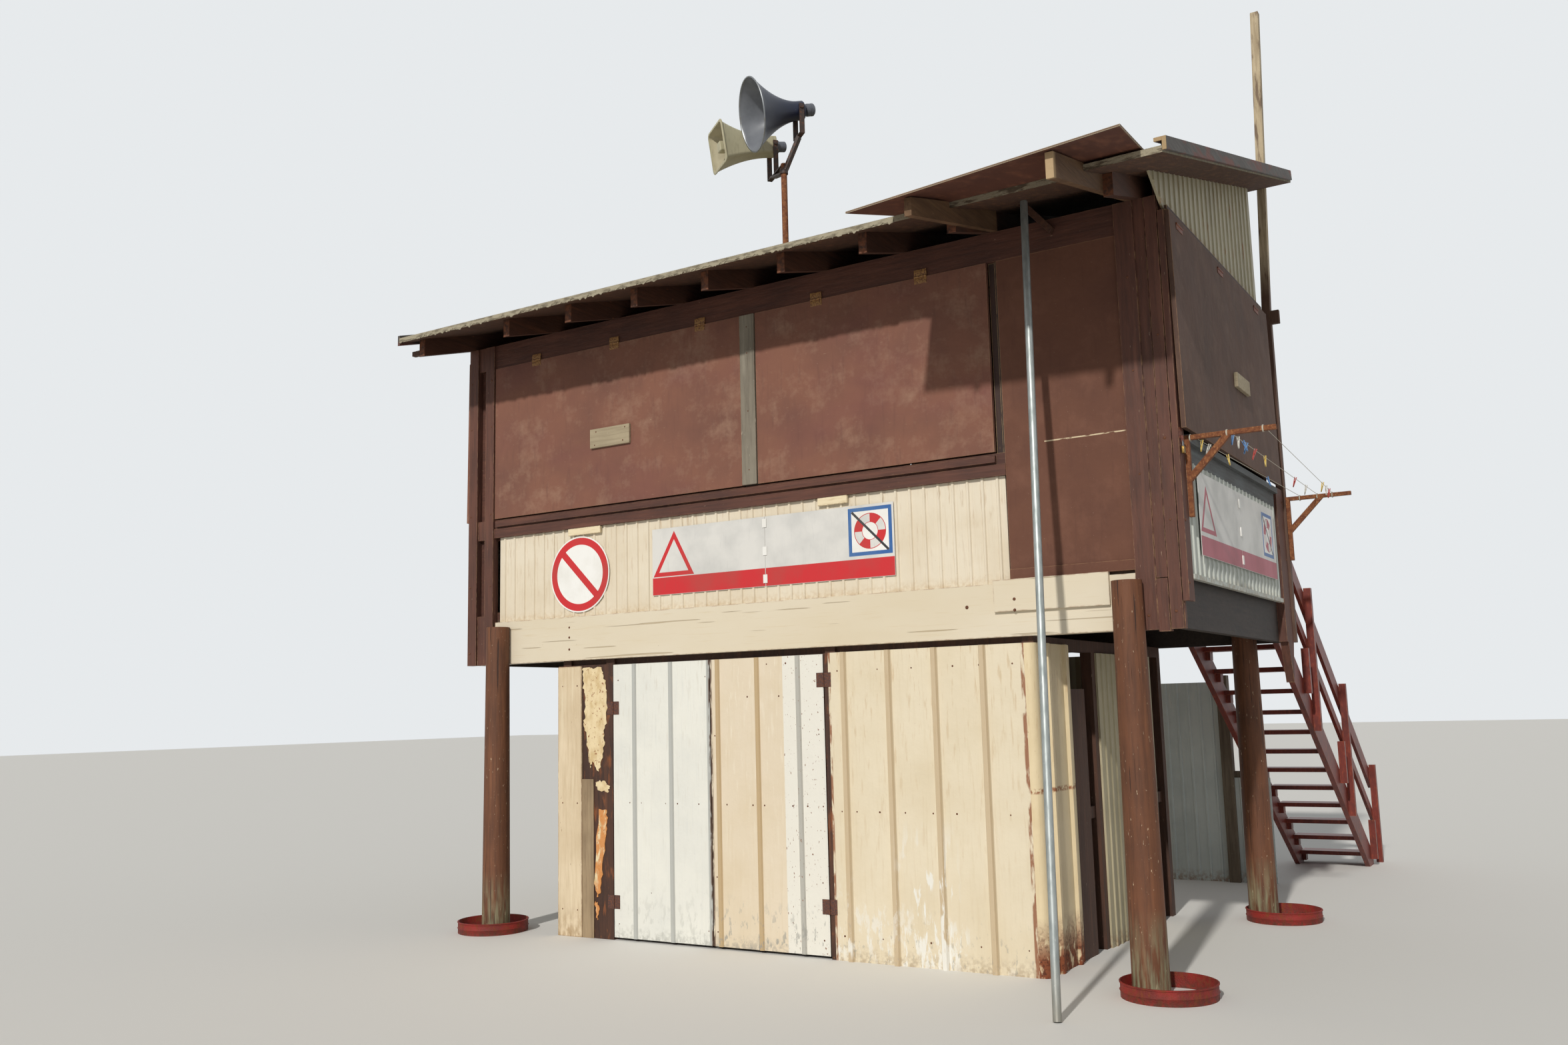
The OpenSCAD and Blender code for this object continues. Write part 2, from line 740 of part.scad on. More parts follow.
// Store framing: corner and door posts with a header under the platform beams, and a board and
// a post in the gap of the right side's sheets
module store_frame() {
  y0 = store_y + store_sheet;
  y1 = y_store1 - store_sheet;
  z1 = beam_z - store_post;
  side_board_h = 1765;
  x_girt = store_x[1] + store_post - 30;
  color(timber) {
    for (x = [store_x[0], door_l0 - store_post - leaf_clear, door_r1 + leaf_clear, store_x[1]])
      box([x, y0, 0], [x + store_post, y0 + store_post, beam_z]);
    box([store_x[0], store_y + leaf_t + leaf_clear, z1], [store_x[1] + store_post, y0 + store_post, beam_z]);
    for (x = store_x) {
      box([x, y1 - store_post, 0], [x + store_post, y1, beam_z]);
      box([x, y0 + store_post, z1], [x + store_post, y1 - store_post, beam_z]);
    }
    box([store_x[1], y_side_post, 0], [store_x[1] + store_post, y_side_post + store_post, z1]);
    box([store_x[1], y0 + store_post, side_board_h / 2], [x_girt, y1 - store_post, side_board_h / 2 + store_post]);
    box([x_girt, y_side_board, 0], [store_x[1] + store_post, y_side_board + side_board_w, side_board_h]);
  }
}

// Ribbed store sheet, its flats lying at the thickness back over the plane y = 0
module store_sheet_wall(l, h, back) {
  ribbed(l, h, store_rib, store_rib_d, back + store_rib_d, store_rib_top, store_rib_run);
}

// Front sheets: a board, a batten and a worn sheet left of the doors, ribbed sheet right of them
module store_front_cladding() {
  y1 = store_y + store_sheet;
  x_pier = door_l0 - leaf_clear;
  x_sheet = door_r1 + leaf_clear;
  board_w = 240;
  strip_w = 115;
  color(cream) {
    box([x_store0, store_y, 0], [x_pier, y1, store_h]);
    box([x_store0 + 5, store_y - 14, 0], [x_store0 + 5 + board_w, store_y, store_h - 6]);
    box([x_store0 + 5 + board_w, store_y - 10, 0],
        [x_store0 + 5 + board_w + strip_w, store_y, 0.64 * store_h]);
    translate([x_sheet, y1, 0]) store_sheet_wall(x_store1 - corner_w - x_sheet, store_h, store_sheet);
  }
}

// Half of a butt hinge whose pin stands at the origin and whose plate lies on y = hinge_r
module hinge_half(side, low, high) {
  x = hinge_r + 2 * eps;
  y = hinge_r - hinge_t;
  h = hinge_h / 3;
  box([min(side * x, side * 58), y, 0], [max(side * x, side * 58), hinge_r, hinge_h]);
  for (z = [low, high]) {
    translate([0, 0, z * h + eps]) cylinder(h = h - 2 * eps, r = hinge_r, $fn = 32);
    box([min(0, side * x), y, z * h + eps], [max(0, side * x), hinge_r, (z + 1) * h - eps]);
  }
}

module at_hinges(door) {
  for (z = hinge_z[door]) translate([hinge_x[door], hinge_y, z]) children();
}

// Fixed halves of the door hinges, each with its pin
module store_hinges() {
  color(rust)
    for (door = [0, 1])
      at_hinges(door) {
        hinge_half(2 * door - 1, 0, 2);
        cylinder(h = hinge_h, r = pin_r, $fn = 32);
      }
}

// Sheet bent round the front right corner of the store, with two ribs on its side
module store_corner_sheet() {
  r = 50;
  x0 = x_store1 - 30;
  x1 = x_store1 - store_rib_d;
  y1 = store_y + store_sheet;
  color(cream) linear_extrude(store_h) {
    difference() {
      union() {
        translate([x_store1 - corner_w, store_y]) square([corner_w - store_rib_d - r, store_sheet]);
        intersection() {
          translate([x1 - r, store_y + r]) circle(r, $fn = 64);
          translate([x1 - r, store_y]) square(r);
        }
      }
      translate([x_store1 - corner_w - 1, y1]) square([x0 - x_store1 + corner_w + 1, r]);
    }
    translate([x0, store_y + r]) square([x1 - x0, corner_run - r]);
    for (y = [210, 530])
      translate([x1, store_y + y]) polygon([[0, -27], [store_rib_d, -15], [store_rib_d, 15], [0, 27]]);
  }
}

// Door leaf with two upright ribs, carrying its halves of two hinges
module store_leaf(door, x, w) {
  h = store_h - leaf_gap - leaf_clear;
  rib_in = 60;
  translate([x, store_y + leaf_t, leaf_gap]) ribbed(w, h, w / 2 - rib_in, 12, leaf_t + 12, 26, 10);
  difference() {
    at_hinges(door) hinge_half(1 - 2 * door, 1, 1);
    at_hinges(door) translate([0, 0, -1]) cylinder(h = hinge_h + 2, r = pin_r + eps, $fn = 32);
  }
}

module store_door_left() {
  color("#e8e6de") store_leaf(0, door_l0, leaf_w_left);
}

module store_door_right() {
  color("#e6cda0") store_leaf(1, door_l1 + leaf_clear, leaf_w_right);
}

module store_side_right() {
  color(pale_blue) translate([x_store1 - 30, y_side_sheet, 0]) rotate([0, 0, 90])
    ribbed(store_side_w, store_h - 40, rib_pitch, rib_d, sheet_t, rib_top, rib_run);
}

module store_side_left() {
  color(cream) translate([x_store0 + 30, y_store1, 0]) rotate([0, 0, -90])
    ribbed(y_store1 - store_y - store_sheet, store_h, store_rib, store_rib_d, store_sheet, store_rib_top, store_rib_run);
}

module store_back() {
  color(cream) translate([x_store1 - 30, y_store1 - store_sheet, 0]) rotate([0, 0, 180])
    store_sheet_wall(x_store1 - x_store0 - 60, store_h, 2);
}

stair_x1 = x_right - stair_in;
stair_x0 = stair_x1 - stair_w;
tread_d = 240;
nosing = 110;
stair_y = y_platform - nosing;
steps = ceil(floor_top / step_rise) - 1;
y_stair1 = stair_y + steps * step_going;

function nose_z(y) = floor_top - (y - stair_y) / step_going * step_rise;

module stringer(x) {
  y1 = y_stair1 + 40;
  slab_x(x, stringer_t, [
    [y_platform, nose_z(y_platform) - stringer_h + 10], [y_platform, nose_z(y_platform) + 10],
    [y1, nose_z(y1) + 10], [y1, 0],
    [stair_y + (floor_top - stringer_h + 10) / step_rise * step_going, 0]]);
}

// Ribbed sheet screen behind the store, its rail passing under the stair
module rear_screen() {
  y = stair_y + 7 * step_going;
  x = stair_x0 - stringer_t - 255;
  z = nose_z(y) - 200;
  screen_w = 1080;
  screen_h = 1840;
  color(pale_blue) {
    translate([x - screen_w, y, 0])
      ribbed(screen_w, screen_h, rib_pitch, rib_d, sheet_t, rib_top, rib_run);
    translate([x + 100, y, 0])
      ribbed(stair_x1 + stringer_t - x - 100, z - 60, rib_pitch, rib_d, sheet_t, rib_top, rib_run);
  }
  color(timber) {
    box([x, y - 60, 0], [x + 100, y + 40, screen_h + 60]);
    difference() {
      box([x - screen_w, y, z - 100], [stair_x1 + stringer_t, y + 40, z]);
      stringer(stair_x0 - stringer_t);
      stringer(stair_x1);
    }
  }
}

module stair_stringers() {
  color(stair_red) {
    stringer(stair_x0 - stringer_t);
    stringer(stair_x1);
  }
}

// Open treads, each on two blocks fixed to the stringers
module stair_treads() {
  block = [34, 90, 70];
  color(stair_red)
    for (k = [1 : steps])
      let(y = stair_y + k * step_going, z = floor_top - k * step_rise) {
        box([stair_x0, y - nosing, z - tread_t], [stair_x1, y - nosing + tread_d, z]);
        for (x = [stair_x0, stair_x1 - block[0]])
          box([x, y - 20, z - tread_t - block[2]], [x + block[0], y - 20 + block[1], z - tread_t]);
      }
}

// Rail board following the stair, its top at height h over the nose line
module rail(x, y0, y1, h, d) {
  slab_x(x, 30, [[y0, nose_z(y0) + h - d], [y1, nose_z(y1) + h - d], [y1, nose_z(y1) + h], [y0, nose_z(y0) + h]]);
}

// Handrail on the outer side of the stair: three posts, each behind a short stub, and two rail boards
module stair_handrail() {
  x = stair_x1 + stringer_t;
  w = 60;
  y1 = y_stair1 + 0.75 * step_going;
  y0 = stair_y + 4.63 * step_going;
  mid = 0.55 * rail_h;
  color(stair_red) {
    for (y = [y0, (y0 + y1) / 2])
      box([x, y, nose_z(y) - stringer_h], [x + w, y + w, nose_z(y) + rail_h]);
    box([x, y1, 0], [x + w, y1 + w, nose_z(y1) + rail_h]);
    for (y = [y0, (y0 + y1) / 2, y1])
      let(ys = y - 1.05 * step_going, z = max(0, nose_z(ys) - 120))
        box([x, ys, z], [x + w, ys + 50, z + 380]);
    rail(x - 30, y_platform, y1 + w, rail_h - 30, 170);
    rail(x - 30, y_platform, y1 + w, mid, 100);
  }
}

// Square flagpole, upright beside the landing and leaning over the roof, with a block at the bend
module flagpole() {
  x = x_right - 40;
  z_lean = side_shutter_top;
  dx = (flag_top - z_lean) * tan(flag_lean);
  color("#c2b296") translate([x, y_platform, 0]) {
    slab_y(flag_w, [[0, beam_z], [flag_w, beam_z], [flag_w, z_lean], [flag_w + dx, flag_top],
                    [dx, flag_top], [0, z_lean]]);
    box([flag_w, 12, z_lean - 70], [flag_w + 38, 52, z_lean]);
  }
}

// Two steel brackets carrying the clotheslines: an upright, an arm and a diagonal each
module clothesline_brackets() {
  bar = 30;
  z0 = floor_z + 326;
  z1 = sill_top - 20;
  color(rust)
    for (p = [[x_right + 24, y_frame + 140], [x_right - 40 + flag_w, y_platform + 23]])
      translate([p[0], p[1], 0]) {
        box([0, 0, z0], [bar, bar, z1]);
        box([bar, 0, z1 - bar], [bracket_reach, bar, z1]);
        slab_y(bar, [[bar, z0 + 230], [250, z1 - bar], [208, z1 - bar], [bar, z0 + 272]]);
      }
}

mast_x = x_right - 2445;
mast_y = y_eave + 250;
mast_d = 42;
mast_top = roof_under(mast_y) + mast_h;
horn_yaw = 230;
throat_r = 66;
horn_yoke = 190;
square_throat = 62;
square_yoke = 235;
yoke_t = 8;

// Mast cut to the slope of the deck it stands on
module speaker_mast() {
  color(rust) difference() {
    translate([mast_x, mast_y, roof_under(mast_y)]) cylinder(h = mast_h, d = mast_d, $fn = 24);
    slab_x(mast_x - 50, 100, roof_band(-100, deck_t));
  }
}

// Frames at the throats of the two loudspeakers: z runs to the mouth, x down and y across
module at_round() {
  translate([mast_x + 84, mast_y, mast_top + 365]) rotate([0, 90 + horn_dip, horn_yaw]) children();
}

module at_square() {
  translate([mast_x - 266, mast_y + 259, mast_top + 290]) rotate([0, 90, horn_yaw + 3]) children();
}

// Yoke of flat bar: two legs past a housing of half width r, and the foot between them
module yoke(r, l) {
  a = r + eps;
  b = a + yoke_t;
  translate([0, 0, -30]) linear_extrude(36)
    polygon([[-25, b], [-25, a], [l - yoke_t, a], [l - yoke_t, -a], [-25, -a], [-25, -b], [l, -b], [l, b]]);
}

// Yokes of the two loudspeakers, with a gusset over the mast's top and an arm to its side
module horn_brackets() {
  arm_yaw = 134;
  color("#3a2a22") {
    at_round() yoke(throat_r, horn_yoke);
    at_square() yoke(square_throat + 2 * eps, square_yoke);
    hull() {
      at_round() box([horn_yoke + eps, -throat_r, -30], [horn_yoke + 2, throat_r, 6]);
      translate([mast_x - 18, mast_y - 18, mast_top + eps]) cube([36, 36, 2]);
    }
    hull() {
      at_square() box([square_yoke + eps, -25, -30], [square_yoke + 2, 25, 6]);
      translate([mast_x, mast_y, mast_top]) rotate([0, 0, arm_yaw])
        box([mast_d / 2 + eps, -20, -60], [mast_d / 2 + 4, 20, -30]);
    }
  }
}

// Radius of the bell at distance z from the throat
function bell_r(z) = throat_r - 4 + (horn_d / 2 - throat_r) * pow(z / horn_l, 1.8);

// Round loudspeaker: a thin bell, its inner cone, the throat housing and the driver on its neck
module horn_round() {
  n = 9;
  wall = 4;
  driver = [[0, -128], [38, -128], [44, -120], [44, -72], [36, -64], [24, -64], [24, -45]];
  flare = [for (i = [0 : n]) i * horn_l / n];
  color("#1c2840") at_round() rotate_extrude($fn = 64) polygon(concat(
    driver, [[throat_r - 4, -45], [throat_r, -40], [throat_r, 8]],
    [for (z = flare) if (z > 8) [bell_r(z) + wall, z]],
    [[bell_r(horn_l) + 2 * wall, horn_l], [bell_r(horn_l) + 2 * wall, horn_l + 6], [bell_r(horn_l), horn_l + 6]],
    [for (i = [n : -1 : 1]) [bell_r(flare[i]), flare[i]]],
    [[throat_r - 8, 8], [32, 8], [28, 110], [0, 118]]));
}

// Half sizes of the square loudspeaker at distance z from its throat
function square_half(z, mouth) = square_throat + (mouth / 2 - square_throat) * pow(z / square_l, 1.7);

// Square loudspeaker: a flared four-sided shell, its inner block, the throat plate and the driver
module horn_square() {
  n = 6;
  wall = 5;
  ring = function(z, g) let(a = square_half(z, square_h) + g, b = square_half(z, square_w) + g)
    [[-a, -b, z], [a, -b, z], [a, b, z], [-a, b, z]];
  zs = [for (i = [0 : n]) i * square_l / n];
  outer = [for (z = zs) each ring(z, z == square_l ? 2 * wall : 0)];
  inner = [for (z = zs) each ring(z, -wall)];
  m = 4 * (n + 1);
  quads = function(k0, flip) [for (i = [0 : n - 1], k = [0 : 3]) let(
    a = k0 + 4 * i + k, b = k0 + 4 * i + (k + 1) % 4, q = [a, a + 4, b + 4, b])
    each (flip ? [[q[3], q[2], q[1]], [q[3], q[1], q[0]]] : [[q[0], q[1], q[2]], [q[0], q[2], q[3]]])];
  rim = function(k0, flip) [for (k = [0 : 3]) let(
    a = k0 + k, b = k0 + (k + 1) % 4, q = [a, b, b + m, a + m])
    flip ? [q[3], q[2], q[1], q[0]] : q];
  color(cream) at_square() {
    polyhedron(concat(outer, inner),
               concat(quads(0, false), quads(m, true), rim(0, false), rim(4 * n, true)));
    translate([-square_throat, -square_throat, -30]) cube([2 * square_throat, 2 * square_throat, 30]);
    translate([-30, -30, 0]) cube([60, 60, square_l - 30]);
    translate([0, 0, -56]) cylinder(h = 26, r = 44, $fn = 32);
    translate([0, 0, -112]) cylinder(h = 56, r = 38, $fn = 32);
  }
}

post_front_right();
post_front_left();
post_back_right();
post_back_left();
footing_rings();
beam_front();
beam_back();
side_beams();
beam_plank();
floor_joists();
floor_deck();
column_front_left();
column_front_right();
column_back_right();
column_back_left();
front_frame();
right_frame();
left_frame();
back_frame();
front_panel();
front_side_panel();
right_panel();
left_panel();
back_panel();
shutter_front_left();
shutter_front_right();
shutter_right();
shutter_left();
shutter_back();
shutter_trims();
side_sills();
gable_infills();
back_door();
rafters();
new_rafters();
roof_deck();
roof_sheet();
roof_curb();
prop_pole();
store_frame();
store_front_cladding();
store_corner_sheet();
store_hinges();
store_door_left();
store_door_right();
store_side_right();
store_side_left();
store_back();
rear_screen();
stair_stringers();
stair_treads();
stair_handrail();
flagpole();
clothesline_brackets();
speaker_mast();
horn_brackets();
horn_round();
horn_square();
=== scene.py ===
import math

import bmesh
import bpy
from mathutils import Matrix, Vector


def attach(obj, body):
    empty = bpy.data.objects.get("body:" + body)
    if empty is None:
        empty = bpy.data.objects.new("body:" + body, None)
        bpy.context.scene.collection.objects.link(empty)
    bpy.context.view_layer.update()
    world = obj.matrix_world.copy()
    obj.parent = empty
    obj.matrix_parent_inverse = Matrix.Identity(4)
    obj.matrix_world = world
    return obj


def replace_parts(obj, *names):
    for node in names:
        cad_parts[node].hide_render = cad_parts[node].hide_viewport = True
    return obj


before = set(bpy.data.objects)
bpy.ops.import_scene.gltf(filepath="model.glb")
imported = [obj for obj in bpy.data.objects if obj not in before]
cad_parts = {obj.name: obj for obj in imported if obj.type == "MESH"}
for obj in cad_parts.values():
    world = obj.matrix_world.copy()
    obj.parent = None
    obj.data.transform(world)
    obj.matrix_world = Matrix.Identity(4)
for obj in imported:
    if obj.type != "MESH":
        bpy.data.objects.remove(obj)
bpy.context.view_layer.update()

# Camera
# It stands at eye height in front of the right corner and looks up a little to the left.
# Its place and lens were solved from the tower's own straight edges.
camera = bpy.data.objects.new("camera", bpy.data.cameras.new("camera"))
bpy.context.scene.collection.objects.link(camera)
bpy.context.scene.camera = camera
camera.data.sensor_width = 36.0
camera.data.lens = 29.996
camera.data.clip_end = 400.0
camera_right = Vector((0.84559947, 0.53326038, -0.02439069))
camera_up = Vector((0.09697493, -0.10852288, 0.98935264))
camera_ahead = Vector((-0.52493562, 0.83896135, 0.14347977))
camera.matrix_world = Matrix.Translation((2.4339, -7.7783, 1.6593)) @ Matrix(
    (camera_right, camera_up, -camera_ahead)).transposed().to_4x4()

# Floor and light
# A plain pale floor and surround. One low lamp from the front draws the eave's shadow, an even fill
# opens it, and together they show a colour about as it is written.


def linear(code):
    """Linear colour of an sRGB hex code."""
    parts = [int(code[i:i + 2], 16) / 255 for i in (1, 3, 5)]
    return tuple(c / 12.92 if c <= 0.04045 else ((c + 0.055) / 1.055) ** 2.4 for c in parts)


def add(tree, kind, inputs=None, **settings):
    """Adds a node: settings are its properties, inputs maps sockets to values or to other sockets."""
    made = tree.nodes.new(kind)
    for name, value in settings.items():
        setattr(made, name, value)
    for name, value in (inputs or {}).items():
        if isinstance(value, bpy.types.NodeSocket):
            tree.links.new(value, made.inputs[name])
        else:
            made.inputs[name].default_value = value
    return made


def finish(name, colour, roughness, metallic=0.0):
    """A material of one even colour, for coats to be laid on."""
    material = bpy.data.materials.new(name)
    material.use_nodes = True
    shader = material.node_tree.nodes["Principled BSDF"]
    shader.inputs["Base Color"].default_value = (*linear(colour), 1)
    shader.inputs["Roughness"].default_value = roughness
    shader.inputs["Metallic"].default_value = metallic
    return material


def link_mesh(name, mesh, *materials):
    """An object at the origin for a mesh."""
    piece = bpy.data.objects.new(name, mesh)
    bpy.context.scene.collection.objects.link(piece)
    for material in materials:
        mesh.materials.append(material)
    return piece


# Matt pale board: it takes the shadow and has no shine of its own.
pale_floor = finish("pale_floor", "#e6e4df", 0.9)
floor_half = 90
floor_mesh = bpy.data.meshes.new("floor")
floor_mesh.from_pydata([(x * floor_half, y * floor_half, 0) for x, y in ((-1, -1), (1, -1), (1, 1), (-1, 1))],
                       [], [(0, 1, 2, 3)])
link_mesh("floor", floor_mesh, pale_floor)

world = bpy.data.worlds.new("studio")
bpy.context.scene.world = world
world.use_nodes = True
surround = world.node_tree.nodes["Background"]
rays = add(world.node_tree, "ShaderNodeLightPath").outputs
seen = add(world.node_tree, "ShaderNodeMath", {0: rays["Is Camera Ray"], 1: rays["Is Glossy Ray"]},
           operation="ADD", use_clamp=True)
seen = add(world.node_tree, "ShaderNodeMath", {0: seen.outputs[0], 1: rays["Is Transmission Ray"]},
           operation="ADD", use_clamp=True)
level = add(world.node_tree, "ShaderNodeMapRange", {"Value": seen.outputs[0], "To Min": 0.31, "To Max": 0.84})
world.node_tree.links.new(level.outputs[0], surround.inputs["Strength"])
surround.inputs["Color"].default_value = (0.95, 0.98, 1.0, 1)

bpy.context.scene.view_settings.view_transform = "Standard"
lamp = bpy.data.objects.new("key_lamp", bpy.data.lights.new("key_lamp", "SUN"))
bpy.context.scene.collection.objects.link(lamp)
lamp.data.energy = 2.45
lamp.data.angle = math.radians(2)
lamp.data.color = (1.0, 0.97, 0.92)
lamp_height, lamp_side = math.radians(30), math.radians(8)
lamp.rotation_euler = Vector((
    math.sin(lamp_side) * math.cos(lamp_height), -math.cos(lamp_side) * math.cos(lamp_height),
    math.sin(lamp_height))).to_track_quat("Z", "Y").to_euler()

# Round posts
# Peeled poles under dark brown wood stain, set in the ground. The stain has split along the grain
# and flaked, and the feet are bleached to a grey green.


def patches(size, low, high, stretch=(1, 1, 1), seed=0.0, detail=4.0, rough=0.55):
    """Mask of noise with marks of a size in metres, longer along a stretched axis; 1 above high."""
    def mask(tree):
        place = add(tree, "ShaderNodeTexCoord").outputs["Object"]
        turned = add(tree, "ShaderNodeMapping", {
            "Vector": place, "Location": (seed, 1.7 * seed, -2.3 * seed),
            "Scale": tuple(1 / s for s in stretch)})
        cloud = add(tree, "ShaderNodeTexNoise", {
            "Vector": turned.outputs[0], "Scale": 1 / size, "Detail": detail, "Roughness": rough})
        return add(tree, "ShaderNodeMapRange", {
            "Value": cloud.outputs[0], "From Min": low, "From Max": high}).outputs[0]
    return mask


def along(axis, low, high, output="Object"):
    """Mask that grows from 0 at low to 1 at high, in metres along an axis or by how a face looks along it."""
    def mask(tree):
        place = add(tree, "ShaderNodeTexCoord").outputs[output]
        split = add(tree, "ShaderNodeSeparateXYZ", {0: place})
        return add(tree, "ShaderNodeMapRange", {
            "Value": split.outputs[axis], "From Min": low, "From Max": high}).outputs[0]
    return mask


def within(axis, low, high, soft=0.003):
    """Masks of the slice between two places along an axis, in metres, with edges as soft as told."""
    return along(axis, low - soft, low), along(axis, high + soft, high)


def facing(axis, sign):
    """Mask of the faces that look along an axis, or against it where sign is -1."""
    return along(axis, 0.45 * sign, 0.75 * sign, "Normal")


def coat(material, masks, colour, strength=1.0, roughness=None):
    """Lays a colour, and maybe its roughness, over a material where a mask, or each of a tuple, is 1."""
    tree = material.node_tree
    shader = tree.nodes["Principled BSDF"]
    share = strength
    for mask in masks if isinstance(masks, tuple) else (masks,):
        share = add(tree, "ShaderNodeMath", {0: mask(tree), 1: share}, operation="MULTIPLY").outputs[0]
    under = [socket.links[0].from_socket if socket.links else socket.default_value
             for socket in (shader.inputs["Base Color"], shader.inputs["Roughness"])]
    mix = add(tree, "ShaderNodeMix", {0: share, 6: under[0], 7: (*linear(colour), 1)}, data_type="RGBA")
    tree.links.new(mix.outputs[2], shader.inputs["Base Color"])
    if roughness is not None:
        mix = add(tree, "ShaderNodeMix", {0: share, 2: under[1], 3: roughness})
        tree.links.new(mix.outputs[0], shader.inputs["Roughness"])


def relief(material, mask, depth):
    """Adds a bump of a depth in metres to what the material has."""
    tree = material.node_tree
    normal = tree.nodes["Principled BSDF"].inputs["Normal"]
    inputs = {"Height": mask(tree), "Distance": depth, "Strength": 1.0}
    if normal.links:
        inputs["Normal"] = normal.links[0].from_socket
    tree.links.new(add(tree, "ShaderNodeBump", inputs).outputs[0], normal)


def worn_edges(radius, size, low=0.42, high=0.6):
    """Masks along the edges of boards, broken up by noise of a size in metres."""
    def mask(tree):
        rounded_off = add(tree, "ShaderNodeBevel", {"Radius": radius}, samples=4).outputs[0]
        flat = add(tree, "ShaderNodeNewGeometry").outputs["Normal"]
        turn = add(tree, "ShaderNodeVectorMath", {0: rounded_off, 1: flat}, operation="DOT_PRODUCT")
        return add(tree, "ShaderNodeMapRange", {
            "Value": turn.outputs["Value"], "From Min": 0.995, "From Max": 0.93}).outputs[0]
    return mask, patches(size, low, high, detail=6)


def stained_timber(name, axis, colour, dark, light, fleck="#b9a68c", flecks=0.6):
    """Wood stain on sawn timber: grain along an axis, dull pale flecks where it has flaked."""
    # Real grain is 1 to 2 mm wide. It is drawn 6 to 50 mm wide, so that it shows at the camera's distance.
    material = finish(name, colour, 0.72)
    stretch = [1.0, 1.0, 1.0]
    stretch[axis] = 16.0
    grain = tuple(stretch)
    stretch[axis] = 5.0
    coat(material, patches(0.35, 0.38, 0.72), dark, 0.55)
    coat(material, patches(0.02, 0.45, 0.75, grain), dark, 0.7)
    coat(material, patches(0.05, 0.55, 0.8, grain, seed=3.1), light, 0.6)
    coat(material, patches(0.012, 0.71, 0.76, stretch, seed=7.7, detail=3), fleck, flecks, 0.9)
    relief(material, patches(0.006, 0.3, 0.7, [4 * s for s in stretch]), 0.0015)
    return material


def dress(material, *names):
    """Gives CAD nodes a material."""
    for name in names:
        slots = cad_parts[name].data.materials
        slots.clear()
        slots.append(material)


# Thin stain on a peeled pole: dull, streaked and cracked along the grain, with pale flecks.
post_stain = stained_timber("dark_stain_on_peeled_pole", 2, "#6c4229", "#452818", "#8c5a3a", flecks=0.75)
coat(post_stain, patches(0.014, 0.68, 0.73, (1, 1, 3), seed=31, detail=3), "#c9b193", 0.8, 0.9)
coat(post_stain, (along(2, 0.48, 0.04), patches(0.03, 0.4, 0.62, (1, 1, 9), seed=5)), "#9aa07f", 0.7)
crack = patches(0.016, 0.66, 0.7, (1, 1, 40), seed=11, detail=2)
coat(post_stain, crack, "#24130d", 0.8)
relief(post_stain, crack, -0.004)
dress(post_stain, "post_front_right", "post_front_left", "post_back_right", "post_back_left")

# Post rings
# Rings cut from steel drums, with the drum's rolled bead and rim, and brushed with red oxide.
# They lie loose on the ground round each post.


def spun(shape, profile, place, steps=48):
    """Turns a closed profile about the Z axis of a place: points of radius, height and material."""
    rows = [[shape.verts.new(place @ Vector((r * math.cos(turn), r * math.sin(turn), z)))
             for r, z, _ in profile]
            for turn in (math.tau * step / steps for step in range(steps))]
    for row, following in zip(rows, rows[1:] + rows[:1]):
        for i, (_, _, material) in enumerate(profile):
            j = (i + 1) % len(profile)
            shape.faces.new((row[i], following[i], following[j], row[j])).material_index = material
    bmesh.ops.remove_doubles(shape, verts=[v for row in rows for v in row], dist=1e-6)


def settle(name, shape, body, slot, *materials, smooth=None):
    """Makes a piece of a shape, with its faces outwards, on a body; the slot of the record is not used."""
    bmesh.ops.recalc_face_normals(shape, faces=shape.faces)
    mesh = bpy.data.meshes.new(name)
    shape.to_mesh(mesh)
    shape.free()
    if smooth:
        mesh.shade_smooth()
        mesh.set_sharp_from_angle(angle=math.radians(smooth))
    piece = link_mesh(name, mesh, *materials)
    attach(piece, body)
    return piece


# Red oxide on old steel: matt and blotched, rust brown where it has worn through and low down.
ring_paint = finish("red_oxide_over_rust", "#8c1f16", 0.65)
coat(ring_paint, patches(0.12, 0.42, 0.62), "#5a1a10", 0.7)
coat(ring_paint, patches(0.03, 0.52, 0.66, (1, 1, 2), seed=2), "#7a3a1c", 0.9, 0.9)
coat(ring_paint, (along(2, 0.06, 0.0), patches(0.02, 0.35, 0.6)), "#4c2a1a", 0.9)
relief(ring_paint, patches(0.008, 0.3, 0.7), 0.002)
ring_r, ring_high, ring_wall, bead = 0.2725, 0.09, 0.004, 0.005
ring_profile = [
    (-ring_wall, 0.0), (0.0, 0.0), (0.0, 0.034), (bead, 0.040), (0.0, 0.046), (0.0, ring_high - 0.012),
    (bead, ring_high - 0.008), (bead, ring_high - 0.002), (0.0, ring_high), (-ring_wall, ring_high)]
rings = bmesh.new()
for x, y in ((0.126, -0.077), (-5.262, 0.029), (0.146, 2.910), (-5.205, 2.910)):
    spun(rings, [(ring_r + out, z, 0) for out, z in ring_profile], Matrix.Translation((x, y, 0)))
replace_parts(settle("drum_rings", rings, "tower", "red_steel", ring_paint, smooth=50), "footing_rings")

# Platform
# Heavy sawn beams bolted to the posts, the front ones cream and split along the grain, the side
# and back ones blue-black, with joists and floor boards over them.

